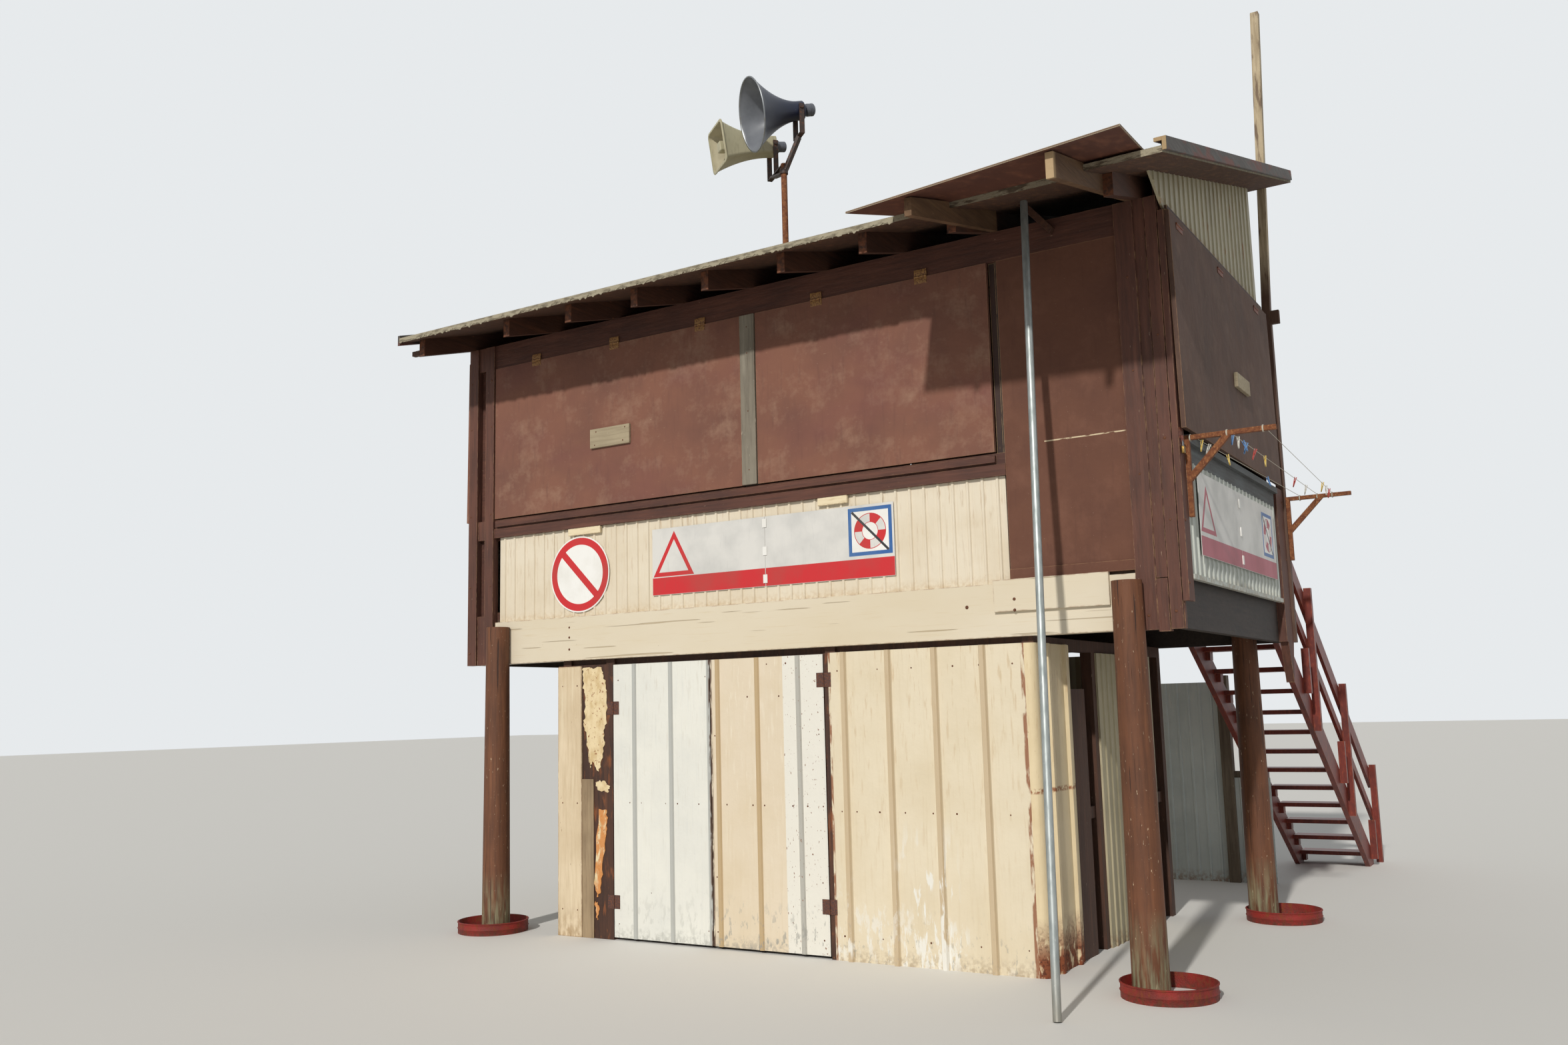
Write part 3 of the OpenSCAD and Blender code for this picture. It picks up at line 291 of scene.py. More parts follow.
# Brushed gloss on a sawn beam: a soft shine, drying splits along the grain, bare wood at the edges.
beam_paint = finish("cream_gloss_on_sawn_beam", "#dbd0ba", 0.5)
coat(beam_paint, patches(0.5, 0.4, 0.75, (3, 1, 1)), "#d0c0a0", 0.6)
coat(beam_paint, patches(0.01, 0.6, 0.8, (30, 1, 1), seed=1), "#cbb68f", 0.6)
split = patches(0.018, 0.72, 0.74, (50, 1, 1), seed=4, detail=1)
coat(beam_paint, split, "#a8926e", 0.65)
relief(beam_paint, split, -0.003)
coat(beam_paint, patches(0.018, 0.76, 0.8, (1, 1, 1.5), seed=9, detail=3), "#7a4a2c", 0.9)
coat(beam_paint, worn_edges(0.012, 0.06), "#8a5a38", 0.85)
dress(beam_paint, "beam_front", "beam_plank")


def geometry_tree(name, sizes):
    """An empty geometry tree with a named input for each size, and the sockets of those inputs."""
    tree = bpy.data.node_groups.new(name, "GeometryNodeTree")
    tree.interface.new_socket("Geometry", in_out="INPUT", socket_type="NodeSocketGeometry")
    for label, value in sizes.items():
        kind = {float: "Float", int: "Int", tuple: "Vector"}[type(value)]
        made = tree.interface.new_socket(label, in_out="INPUT", socket_type="NodeSocket" + kind)
        made.default_value = value
    tree.interface.new_socket("Material", in_out="INPUT", socket_type="NodeSocketMaterial")
    tree.interface.new_socket("Geometry", in_out="OUTPUT", socket_type="NodeSocketGeometry")
    return tree, tree.nodes.new("NodeGroupInput").outputs


def end_tree(tree, made, material):
    """Ends a geometry tree: its instances become real mesh and take their material."""
    real = add(tree, "GeometryNodeRealizeInstances", {0: made})
    dressed = add(tree, "GeometryNodeSetMaterial", {"Geometry": real.outputs[0], "Material": material})
    add(tree, "NodeGroupOutput", {0: dressed.outputs[0]})


def grown(name, points, tree, material, body, slot, **sizes):
    """Runs a geometry tree on points and keeps what it makes as one plain mesh on a body."""
    cloud = bpy.data.meshes.new(name)
    cloud.from_pydata(points, [], [])
    piece = link_mesh(name, cloud)
    modifier = piece.modifiers.new("grow", "NODES")
    modifier.node_group = tree
    for socket in tree.interface.items_tree:
        if socket.name == "Material":
            modifier[socket.identifier] = material
        elif socket.name in sizes:
            modifier[socket.identifier] = sizes[socket.name]
    seen_now = bpy.context.evaluated_depsgraph_get()
    result = bpy.data.meshes.new_from_object(piece.evaluated_get(seen_now))
    piece.modifiers.remove(modifier)
    piece.data = result
    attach(piece, body)


# A flattened dome on each point, as the head of a nail or bolt, none quite like the next in size.
heads, size = geometry_tree("domed_heads", {
    "Radius": 0.01, "Height": 0.5, "Facing": (0.0, -1.0, 0.0), "Seed": 1})
dome = add(heads, "GeometryNodeMeshUVSphere", {"Segments": 10, "Rings": 6, "Radius": size["Radius"]})
squat = add(heads, "ShaderNodeCombineXYZ", {0: 1.0, 1: 1.0, 2: size["Height"]})
dome = add(heads, "GeometryNodeTransform", {"Geometry": dome.outputs[0], "Scale": squat.outputs[0]})
dome = add(heads, "GeometryNodeSetShadeSmooth", {"Geometry": dome.outputs[0]})
aim = add(heads, "FunctionNodeAlignRotationToVector", {"Vector": size["Facing"]}, axis="Z")
spread = add(heads, "FunctionNodeRandomValue", {2: 0.75, 3: 1.2, "Seed": size["Seed"]}, data_type="FLOAT")
placed = add(heads, "GeometryNodeInstanceOnPoints", {
    "Points": size["Geometry"], "Instance": dome.outputs[0], "Rotation": aim.outputs[0],
    "Scale": spread.outputs[1]})
end_tree(heads, placed.outputs[0], size["Material"])

# Rusted steel: rough and dark, with orange bloom.
nail_rust = finish("rusted_nail", "#4f3022", 0.8)
coat(nail_rust, patches(0.004, 0.45, 0.6), "#8a5430", 0.7)


def nails(name, places, radius, seed, body="tower", way=(0.0, -1.0, 0.0)):
    """Heads of nails or bolts, all facing one way, on a body."""
    grown(name, places, heads, nail_rust, body, "rusty_steel", Radius=radius, Seed=seed, Facing=way)


front_y = 0.064
nails("beam_bolts", [(-4.497, front_y, z) for z in (2.187, 2.281, 2.36)]
      + [(-0.742, front_y - 0.026, z) for z in (2.265, 2.335)] + [(-1.083, front_y, 2.304)], 0.011, 1)
nails("post_bolts", [(x, 0.004, z) for x in (-0.042, -5.24) for z in (2.184, 2.33)], 0.014, 1)

# Blue-black stain on rough beams: almost black, greyed where it has weathered.
dark_stain = stained_timber("blue_black_stain_on_beam", 1, "#30251f", "#1b1411", "#463830", "#7a7468", 0.4)
dress(dark_stain, "side_beams", "beam_back")
# Bare sawn softwood, darkened by age: brown with a plain grain.
deck_board = stained_timber("bare_floor_board", 0, "#5b4636", "#35281f", "#7c6650", "#9a8a70", 0.3)
dress(deck_board, "floor_deck", "floor_joists")

# Columns and frames
# Planed boards in red-brown stain, nailed together as corner posts, with plates, sills and headers
# between them. The nail heads show and have rusted.

# Red-brown stain on planed boards: matt, grained along each board, bare wood at the corners.
upright = stained_timber("red_brown_stain_on_upright", 2, "#5e392c", "#3d251d", "#7b5040", "#b09a84")
coat(upright, worn_edges(0.006, 0.05), "#a8845f", 0.8)
dress(upright, "column_front_left", "column_front_right", "column_back_right", "column_back_left")
# The same on level boards: the grain runs along the front.
level_board = stained_timber("red_brown_stain_on_plate", 0, "#5a3528", "#38201a", "#754a3a", "#a89078")
coat(level_board, worn_edges(0.005, 0.07), "#9c7656", 0.7)
dress(level_board, "front_frame", "back_frame")
# The same on side boards: the grain runs along the side.
side_board = stained_timber("red_brown_stain_on_side_plate", 1, "#5c3529", "#38211a", "#7b4c3b")
dress(side_board, "right_frame", "left_frame")
right_face = 0.355
nails("column_nails", [(0.271, front_y, z) for z in (2.198, 2.75, 3.253, 3.9)]
      + [(0.105, front_y, z) for z in (2.181, 3.05, 3.7, 4.3)]
      + [(x, front_y, z) for x in (-5.59, -5.36) for z in (2.2, 2.75, 3.35, 4.1, 4.5)], 0.009, 4)
nails("column_side_nails", [(right_face, y, z) for y in (0.09, 2.96) for z in (2.363, 2.743, 3.2)], 0.009, 5,
      way=(1.0, 0.0, 0.0))

# Lower wall sheets
# Thin pressed sheets with narrow ribs, nailed between sill and beam. The front ones are cream, with
# brown drips from the sill and grime at the foot; the side ones are a washed-out blue.


def painted_sheet(name, colour, shade, drip, rust, z_low, z_high):
    """Old paint on ribbed steel: upright streaks, drips from the top, grime and rust at the foot."""
    material = finish(name, colour, 0.48)
    coat(material, patches(0.4, 0.4, 0.75), shade, 0.5)
    coat(material, patches(0.014, 0.55, 0.8, (1, 1, 25), seed=2), shade, 0.5)
    coat(material, (along(2, z_low, z_high), patches(0.02, 0.58, 0.68, (1, 1, 9), seed=6)), drip, 0.4)
    coat(material, (along(2, z_low + 0.12, z_low), patches(0.03, 0.42, 0.6, seed=8)), rust, 0.75, 0.85)
    coat(material, patches(0.012, 0.75, 0.79, seed=12, detail=2), rust, 0.8)
    relief(material, patches(0.25, 0.2, 0.8), 0.006)
    return material


# Chalky cream gloss: a dull shine, drips and a dirty foot.
cream_sheet = painted_sheet(
    "chalky_cream_on_ribbed_steel", "#e0d5c0", "#cebda0", "#a5835a", "#b89c74", 2.40, 3.15)
dress(cream_sheet, "front_panel", "back_panel")
# Thin blue gloss, washed out: pale streaks run down it.
blue_sheet = painted_sheet(
    "washed_blue_on_ribbed_steel", "#c0c4bc", "#a3aba8", "#d8d6cb", "#9a8468", 2.36, 3.13)
dress(blue_sheet, "right_panel", "left_panel")

# Toggle blocks
# Two short planed blocks in cream gloss, screwed over the sheet close under the sill, above the
# notice boards.


def eased(shape, parts, width, steps=2):
    """Bevels the edges among parts of a shape."""
    bmesh.ops.bevel(shape, geom=list(parts), offset=width, segments=steps, affect="EDGES", profile=0.5)


def board(shape, low, high, ease=0.003, material=0):
    """A board between two corners, its edges eased."""
    others = set(shape.faces)
    made = bmesh.ops.create_cube(shape, size=1.0)["verts"]
    for vertex in made:
        vertex.co = Vector(a + (b - a) * (c + 0.5) for a, b, c in zip(low, high, vertex.co))
    if ease:
        eased(shape, [*made, *dict.fromkeys(edge for vertex in made for edge in vertex.link_edges)], ease)
    for face in shape.faces:
        if face not in others:
            face.material_index = material


# Gloss on small blocks: yellowed, streaked along the grain, rubbed bare at the corners.
block_paint = finish("cream_gloss_on_block", "#e6d6b4", 0.5)
coat(block_paint, patches(0.012, 0.5, 0.75, (8, 1, 1)), "#cdb890", 0.8)
coat(block_paint, worn_edges(0.006, 0.02), "#8a6a4c", 0.9)
blocks = bmesh.new()
for left, right in ((-4.52, -4.19), (-2.20, -1.96)):
    board(blocks, (left, 0.076, 3.092), (right, 0.0995, 3.147))
settle("toggle_blocks", blocks, "tower", "cream_timber", block_paint)

# Notice boards
# Plain boards of painted sheet screwed over the ribs: a pale ground with a red band along the foot,
# a red triangle and a blue-edged square with a ring, and a round board with a red rim and slash.


def prism(shape, axis, start, end, outline, material=0):
    """An outline on the two other axes, carried along an axis from start to end; its corners come back."""
    def corner(place, u, v):
        spot = [u, v]
        spot.insert(axis, place)
        return shape.verts.new(spot)
    near, far = ([corner(place, u, v) for u, v in outline] for place in (start, end))
    sides = [(near[i - 1], near[i], far[i], far[i - 1]) for i in range(len(outline))]
    for loop in [near, far[::-1]] + sides:
        shape.faces.new(loop).material_index = material
    return near + far


def weathered(name, colour, dulled):
    """Outdoor enamel on thin sheet: half gloss, chalked by weather, with rust specks and streaks."""
    material = finish(name, colour, 0.42)
    coat(material, patches(0.25, 0.42, 0.7), dulled, 0.6, 0.6)
    coat(material, patches(0.012, 0.6, 0.8, (1, 1, 14), seed=3), dulled, 0.7)
    coat(material, patches(0.008, 0.73, 0.77, seed=8, detail=3), "#7a5a40", 0.8, 0.8)
    return material


# Enamels in flat colours: crisp where fresh, milky where chalked. The side board's red has faded most.
board_paints = [weathered(colour + "_board_paint", code, dulled) for colour, code, dulled in (
    ("pale_grey", "#d9d7d2", "#b9b9b6"), ("signal_red", "#c8262b", "#a8443c"), ("blue", "#2f5f9e", "#5a7ba0"),
    ("white", "#efeeea", "#d6d3ca"), ("black", "#2a2a2c", "#4a4a48"))]
faded_red = weathered("faded_red_board_paint", "#a83648", "#9a5a60")
PALE, RED, BLUE, WHITE, BLACK = range(5)
plate_thick, coat_thick = 0.003, 0.0003


def oblong(u0, v0, u1, v1):
    """Corners of an upright rectangle."""
    return [(u0, v0), (u1, v0), (u1, v1), (u0, v1)]


def slanted(u, v, reach, half):
    """Corners of a bar that falls to the right through a place."""
    return [(u - reach - half, v + reach - half), (u - reach + half, v + reach + half),
            (u + reach + half, v - reach + half), (u + reach - half, v - reach - half)]


def hoop(shape, axis, start, end, centre, inner, outer, material, turns=48, part=(0.0, 1.0)):
    """A flat ring, or a part of one, round a centre on the two other axes."""
    u, v = centre
    first, last = (round(turns * share) for share in part)
    for step in range(first, last):
        a, b = (math.tau * k / turns for k in (step, step + 1))
        prism(shape, axis, start, end, [(u + r * math.cos(w), v + r * math.sin(w)) for r, w in (
            (inner, a), (outer, a), (outer, b), (inner, b))], material)


def notice(name, axis, back, out, field, band, seam, plates, triangle, square, paints):
    """A long board on a wall whose face looks along an axis; places along the wall and up are in metres."""
    shape = bmesh.new()
    face = back + out * plate_thick
    first, second, third, fourth = (face + out * k * coat_thick for k in (1, 2, 3, 4))
    u0, z0, u1, z1 = field
    gap, rim = 0.001, 0.002
    for left, right in ((u0, seam - gap), (seam + gap, u1)):
        prism(shape, axis, back, face, oblong(left, z0, right, z1), PALE)
        prism(shape, axis, face, first, oblong(left + rim, z0 + rim, right - rim, band), RED)
    for z in plates:
        prism(shape, axis, first, first + out * 0.006,
              oblong(seam - 0.017, z - 0.031, seam + 0.017, z + 0.031), WHITE)
    middle = [sum(values) / 3 for values in zip(*triangle)]
    inner = [tuple(m + 0.72 * (c - m) for c, m in zip(corner, middle)) for corner in triangle]
    for i in range(3):
        prism(shape, axis, face, first, [triangle[i - 1], triangle[i], inner[i], inner[i - 1]], RED)
    a0, b0, a1, b1 = square
    edge = 0.026
    prism(shape, axis, face, first, oblong(a0, b0, a1, b1), BLUE)
    prism(shape, axis, first, second, oblong(a0 + edge, b0 + edge, a1 - edge, b1 - edge), WHITE)
    centre = ((a0 + a1) / 2, (b0 + b1) / 2)
    for k in range(8):
        hoop(shape, axis, second, third, centre, 0.062, 0.122, RED if k % 2 else PALE,
             part=(k / 8, (k + 1) / 8))
    for inner_r, outer_r in ((0.060, 0.064), (0.120, 0.125)):
        hoop(shape, axis, second, second + out * 0.0004, centre, inner_r, outer_r, RED)
    prism(shape, axis, third, fourth, slanted(*centre, (a1 - a0) / 2 - 0.03, 0.006), BLACK)
    settle(name, shape, "tower", "white_sheet", *paints)


sheet_y = 0.0985
notice("front_notice", 1, sheet_y, -1, (-3.686, 2.558, -1.61, 3.066), 2.69, -2.66, (3.017, 2.814, 2.612),
       ((-3.479, 3.039), (-3.677, 2.697), (-3.296, 2.697)), (-1.966, 2.713, -1.625, 3.048), board_paints)
notice("side_notice", 0, 0.3635, 1, (0.39, 2.555, 2.53, 3.085), 2.68, 1.45, (3.005, 2.809, 2.613),
       ((0.571, 3.015), (0.40, 2.707), (0.776, 2.707)), (2.13, 2.705, 2.46, 3.03),
       [board_paints[PALE], faded_red, *board_paints[BLUE:]])
disc = bmesh.new()
disc_at, disc_r, rim_r = (-4.415, 2.779), 0.303, 0.236
disc_y = sheet_y - plate_thick
circle = [(disc_at[0] + disc_r * math.cos(turn), disc_at[1] + disc_r * math.sin(turn))
          for turn in (math.tau * k / 64 for k in range(64))]
prism(disc, 1, sheet_y, disc_y, circle, WHITE)
hoop(disc, 1, disc_y, disc_y - coat_thick, disc_at, rim_r, 0.292, RED, turns=64)
across_rim, bar_half = rim_r * math.sqrt(0.5), 0.028 * math.sqrt(0.5)
prism(disc, 1, disc_y, disc_y - coat_thick, slanted(*disc_at, across_rim, bar_half), RED)
settle("round_notice", disc, "tower", "white_sheet", *board_paints)

# Gable sheets
# Corrugated sheets nailed up under the roof to close the two sides. Their cream is painted darker and
# greyer as shade, with rust running down from their cut tops.


def rib_line(start, end, first, pitch, flat, crest, half, run):
    """Points of a ribbed sheet's face: place along the wall and depth, with ribs wider at the foot."""
    line = [(start, flat)]
    place = first
    while place + half + run < end:
        if place - half - run > start:
            line += [(place - half - run, flat), (place - half, crest), (place + half, crest),
                     (place + half + run, flat)]
        place += pitch
    return line + [(end, flat)]


def ribbed(shape, axis, line, back, edges, material=0):
    """A ribbed sheet along X (axis 0) or Y (axis 1); edges gives its foot and head at a place along it."""
    def column(place, depth):
        return [shape.verts.new((place, depth, z) if axis == 0 else (depth, place, z)) for z in edges(place)]
    face = [column(place, depth) for place, depth in line]
    rear = [column(place, back) for place, _ in line]
    for i in range(1, len(line)):
        (a, b), (c, d), (e, f), (g, h) = face[i - 1], face[i], rear[i], rear[i - 1]
        for loop in ((a, c, d, b), (g, h, f, e), (b, d, f, h), (a, g, e, c)):
            shape.faces.new(loop).material_index = material
    for (a, b), (c, d) in ((face[0], rear[0]), (face[-1], rear[-1])):
        shape.faces.new((a, b, d, c)).material_index = material


roof_start, roof_slope, rafter_deep = 4.915, 0.297, 0.1408


def roof_under(y):
    """Height of the roof boards' underside over a place along the side."""
    return roof_start + roof_slope * y


gable_front, gable_corner, gable_back = -0.155, 0.132, 2.654
gable_foot, gable_tip = 4.698, 4.869
gable_flat, gable_crest, gable_rear = 0.345, 0.355, 0.330
gable_ribs = (0.119, gable_flat, gable_crest, 0.007, 0.006)


def right_gable_edges(y):
    """Foot and head of the right gable sheet, whose foot climbs in front of the corner."""
    climb = max(0.0, (gable_corner - y) / (gable_corner - gable_front))
    return gable_foot + climb * (gable_tip - gable_foot), roof_under(y)


# Cream on ribbed sheet, painted darker and greyer as shade: almost no shine, streaked, with rust runs
# below the cut edge.
gable_sheet = painted_sheet(
    "cream_with_painted_shade_on_gable_sheet", "#a8a085", "#87806a", "#8a6e4c", "#955c30", 4.69, 5.3)
coat(gable_sheet, patches(0.016, 0.62, 0.7, (1, 1, 14), seed=17), "#8c5a34", 0.8)
gables = bmesh.new()
ribbed(gables, 1, rib_line(gable_front, gable_back, -0.08, *gable_ribs), gable_rear, right_gable_edges)
# A place on the right wall and its mirror image on the left wall add up to this.
mirror_x = -5.259
ribbed(gables, 1, [(y, mirror_x - x) for y, x in rib_line(gable_corner, gable_back, 0.20, *gable_ribs)],
       mirror_x - gable_rear, lambda y: (gable_foot, roof_under(y) - rafter_deep))
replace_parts(settle("gable_sheets", gables, "tower", "cream_sheet", gable_sheet), "gable_infills")

# Shutters
# Top-hung sheets of plywood in matt brown paint. Rain has left pale dust on them in mottled
# patches, they are redder in places, and their edges are rubbed bare.


def brown_plywood(name, colour, dust, dark):
    """Matt brown paint on plywood, mottled with dust."""
    material = finish(name, colour, 0.8)
    coat(material, patches(0.5, 0.42, 0.7), dark, 0.6)
    coat(material, patches(0.22, 0.5, 0.72, seed=3, detail=8, rough=0.7), dust, 0.5)
    coat(material, patches(0.03, 0.55, 0.75, (1, 1, 8), seed=5), dark, 0.4)
    coat(material, patches(0.007, 0.74, 0.78, seed=13, detail=2), "#cdb9a0", 0.8)
    coat(material, worn_edges(0.004, 0.04, 0.3, 0.5), "#b08a66", 0.8)
    relief(material, patches(0.3, 0.2, 0.8), 0.008)
    return material


# Matt brown paint: no shine, cloudy with dust, a redder tint in places and fine level scratches.
shutter_paint = brown_plywood("matt_brown_on_plywood", "#7f5443", "#a2826c", "#644238")
coat(shutter_paint, patches(0.6, 0.5, 0.72, (2, 1, 1), seed=19), "#6b3b3d", 0.45)
coat(shutter_paint, patches(0.004, 0.72, 0.75, (14, 1, 1), seed=20, detail=2), "#c0a68c", 0.6)
dress(shutter_paint, "shutter_front_left", "shutter_front_right", "shutter_back", "back_door")
# Red-brown paint: evener and deeper, with a pale splintered line along the panel's foot.
panel_paint = brown_plywood("red_brown_on_plywood", "#66402f", "#7a5240", "#553327")
splinter = within(2, 3.333, 3.339, 0.002) + within(0, -0.5, 0.04)
coat(panel_paint, (*splinter, patches(0.02, 0.4, 0.5, (3, 1, 1), seed=51)), "#d8c6a4", 0.95)
dress(panel_paint, "front_side_panel")
# Greenish brown paint: darker and duller than the front's.
side_shutter_paint = brown_plywood("greenish_brown_on_plywood", "#583f33", "#735a4a", "#3f2d25")


def side_shutter(name, face, out, paint):
    """A side shutter that hangs a little open at its foot: its back meets the wall at its head."""
    shape = bmesh.new()
    head, foot, lean, thick = 4.690, 3.305, 0.0145, 0.03
    prism(shape, 1, 0.084, 2.784, [(face + out * deep, z) for deep, z in (
        (0, head), (thick, head), (thick + lean, foot), (lean, foot))])
    eased(shape, shape.edges, 0.002)
    return settle(name, shape, "tower", "brown_plywood", paint)


left_face = -5.614
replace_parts(side_shutter("side_shutter_right", right_face, 1, side_shutter_paint), "shutter_right")
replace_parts(side_shutter("side_shutter_left", left_face, -1, shutter_paint), "shutter_left")

# Shutter trims
# A grey batten between the front shutters, a dark jamb strip at their right, two pale cleats that
# serve as handles, and a dark board over each side shutter, all nailed on.

# Bare batten, grey from the weather: matt, with dark grain and brown at the edges.
grey_wood = stained_timber("weathered_grey_batten", 2, "#857d6e", "#5c5448", "#a39c8c", "#c4bdac", 0.8)
coat(grey_wood, worn_edges(0.006, 0.03), "#6b4a38", 0.8)
# Bare cleat: the palest wood on the front, with soft grain.
pale_wood = stained_timber("pale_bare_cleat", 0, "#a99b80", "#85775f", "#c2b598", "#d9cfb8", 0.8)
# Dark stain on narrow strips: near black, with bare yellow wood along broken edges.
dark_trim = stained_timber("dark_stain_on_strip", 2, "#3d2720", "#22140f", "#5c3b2e", "#a88a66")
coat(dark_trim, worn_edges(0.008, 0.05, 0.3, 0.5), "#b59a70", 0.9)
BATTEN, CLEAT, STRIP = range(3)
trims = bmesh.new()
for low, high, ease, material in (
        ((-2.828, 0.066, 3.31), (-2.700, 0.124, 4.595), 0.003, BATTEN),
        ((-0.838, 0.108, 3.300), (-0.773, 0.124, 4.595), 0.002, STRIP),
        ((-0.790, 0.092, 3.300), (-0.774, 0.108, 4.595), 0.002, STRIP),
        ((-4.271, 0.054, 3.768), (-3.873, 0.076, 3.922), 0.003, CLEAT),
        ((0.3935, 1.464, 3.832), (0.4195, 1.834, 3.937), 0.003, CLEAT),
        ((right_face, 0.084, 4.691), (0.375, 2.674, 4.723), 0.002, STRIP),
        ((-5.634, 0.084, 4.691), (left_face, 2.674, 4.723), 0.002, STRIP)):
    board(trims, low, high, ease, material)
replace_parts(settle("shutter_battens", trims, "tower", "grey_timber", grey_wood, pale_wood, dark_trim),
            "shutter_trims")
nails("cleat_nails", [(x, 0.054, z) for x, z in (
    (-4.208, 3.896), (-3.916, 3.899), (-4.222, 3.79), (-3.937, 3.796))]
      + [(-2.764, 0.066, z) for z in (3.42, 3.86, 4.3, 4.5)], 0.006, 6)

# Shutter hinges
# Pressed steel butt hinges screwed over each shutter's head and painted over with the wall, ochre
# at the front and dark red at the side.


def butt(shape, at, width, high, axis, steps, out):
    """A butt hinge at its knuckle's middle: plates up and down, each standing out by its own step."""
    across = 1 - axis
    thick, gap, knuckle_r, slit = 0.003, 0.006, 0.007, 0.0006
    for sign, step in zip((1, -1), steps):
        low, top = list(at), list(at)
        low[axis] -= width / 2
        top[axis] += width / 2
        low[across], top[across] = sorted((at[across] + out * step, at[across] + out * (step + thick)))
        low[2], top[2] = sorted((at[2] + sign * gap, at[2] + sign * high / 2))
        board(shape, low, top, 0.0008)
    centre = list(at)
    centre[across] += out * (max(steps) + 0.002)
    place = Matrix.Translation(centre) @ Matrix.Rotation(math.pi / 2, 4, "Y" if axis == 0 else "X")
    for k in range(5):
        start, end = k * width / 5 - width / 2 + slit, (k + 1) * width / 5 - width / 2 - slit
        spun(shape, [(0, start, 0), (knuckle_r, start, 0), (knuckle_r, end, 0), (0, end, 0)], place, 14)


# Ochre paint on steel: a low shine, with brown steel where it has chipped.
ochre_hinge = finish("ochre_paint_on_hinge", "#9a7242", 0.6)
coat(ochre_hinge, patches(0.012, 0.45, 0.6), "#5c3626", 0.9)
# Dark red paint on steel: a low shine, chipped to rust.
red_hinge = finish("dark_red_paint_on_hinge", "#5f2a20", 0.6)
coat(red_hinge, patches(0.012, 0.45, 0.6), "#8a5636", 0.8)
front_hinges = bmesh.new()
for x in (-1.326, -2.162, -3.194, -4.034, -4.862):
    butt(front_hinges, (x, 0.076, 4.600), 0.095, 0.10, 0, (0.0, 0.0), -1)
settle("shutter_hinges", front_hinges, "tower", "rusty_steel", ochre_hinge, smooth=40)
side_hinges = bmesh.new()
for y in (0.295, 1.318, 2.40):
    butt(side_hinges, (0.3865, y, 4.640), 0.145, 0.07, 1, (-0.012, 0.0), 1)
settle("side_shutter_hinges", side_hinges, "tower", "rusty_steel", red_hinge, smooth=40)

# Hasp and padlock
# A pressed steel hasp plate screwed to the corner board and painted over, with a staple through
# its slot and a cast brass padlock hanging from the staple.
hasp = bmesh.new()
board(hasp, (right_face, 0.078, 3.240), (0.358, 0.134, 3.310), 0.001)
board(hasp, (0.358, 0.099, 3.222), (0.374, 0.105, 3.262), 0.001)
settle("hasp_plate", hasp, "tower", "galvanised", red_hinge)
# Cast brass: metal with a soft yellow shine, browned where hands don't rub it.
brass = finish("dull_brass_padlock", "#9c7f48", 0.45, 1.0)
coat(brass, patches(0.008, 0.45, 0.65), "#5f4a2c", 0.7, 0.7)
# Hardened steel: the sharpest shine on this wall, with rust spots.
lock_steel = finish("hardened_steel_shackle", "#8e9294", 0.35, 1.0)
coat(lock_steel, patches(0.006, 0.5, 0.65), "#6a4a34", 0.6, 0.7)
lock = bmesh.new()
board(lock, (0.361, 0.084, 3.150), (0.377, 0.120, 3.194))


def tube(shape, points, radius, sides=8, material=0):
    """A round bar that follows points, closed at both ends."""
    loops = []
    for i, point in enumerate(points):
        ahead = Vector(points[min(i + 1, len(points) - 1)]) - Vector(points[max(i - 1, 0)])
        turn = ahead.normalized().to_track_quat("Z", "Y").to_matrix()
        loops.append([shape.verts.new(Vector(point) + turn @ Vector(
            (radius * math.cos(math.tau * k / sides), radius * math.sin(math.tau * k / sides), 0)))
            for k in range(sides)])
    for a, b in zip(loops, loops[1:]):
        for k in range(sides):
            shape.faces.new((a[k], a[k - 1], b[k - 1], b[k])).material_index = material
    for end in (loops[0], loops[-1]):
        shape.faces.new(end).material_index = material


lock_x, lock_y, bow_foot, bow_z, bow_half, bow_rise = 0.369, 0.102, 3.185, 3.218, 0.011, 0.012
bow = [(lock_x, lock_y - bow_half * math.cos(turn), bow_z + bow_rise * math.sin(turn))
       for turn in (k * math.pi / 10 for k in range(11))]
tube(lock, [(lock_x, lock_y - bow_half, bow_foot), *bow, (lock_x, lock_y + bow_half, bow_foot)], 0.003, 10, 1)
settle("padlock", lock, "tower", "galvanised", brass, lock_steel, smooth=35)

# Sills
# Planed boards nailed under the side openings, in grey-blue paint that has faded and split along
# the grain.

# Faded grey-blue paint: chalky, grained along the board, flaked to pale wood.
sill_paint = stained_timber("faded_grey_blue_on_board", 1, "#5b5f60", "#3f3a37", "#7d8688", "#b4b4aa")
dress(sill_paint, "side_sills")

# Roof
# Sawn rafters nailed over the plates carry the deck. Two newer rafters and a thin sheet run out
# past it at the right, and a pair of boards closes the right edge.

# Brown stain on rafters: smoky and dull in the shade, orange at the sawn front ends.
rafter_stain = stained_timber("brown_stain_on_rafter", 1, "#4f3021", "#2c1a12", "#72472f", "#b27a50", 0.7)
coat(rafter_stain, (along(1, -0.50, -0.515), patches(0.03, 0.4, 0.6)), "#a8643c", 0.9)
rafter_front, rafter_back, rafter_half, seat = -0.505, 2.954, 0.03, 0.0005
rafters = bmesh.new()
for x in (-5.584, -4.640, -4.003, -3.366, -2.729, -2.092, -1.455, -0.818, 0.196):
    prism(rafters, 0, x - rafter_half, x + rafter_half, [(y, roof_under(y) - deep) for y, deep in (
        (rafter_front, rafter_deep), (rafter_back, rafter_deep), (rafter_back, seat), (rafter_front, seat))])
board(rafters, (-5.712, -0.497, 4.644), (left_face, -0.457, 4.684))
prism(rafters, 1, 0.039, 0.084, [(-0.352 + u, 4.926 + v) for u, v in (
    (0, -0.2), (-0.024, -0.236), (-0.229, -0.001), (-0.165, -0.001))])
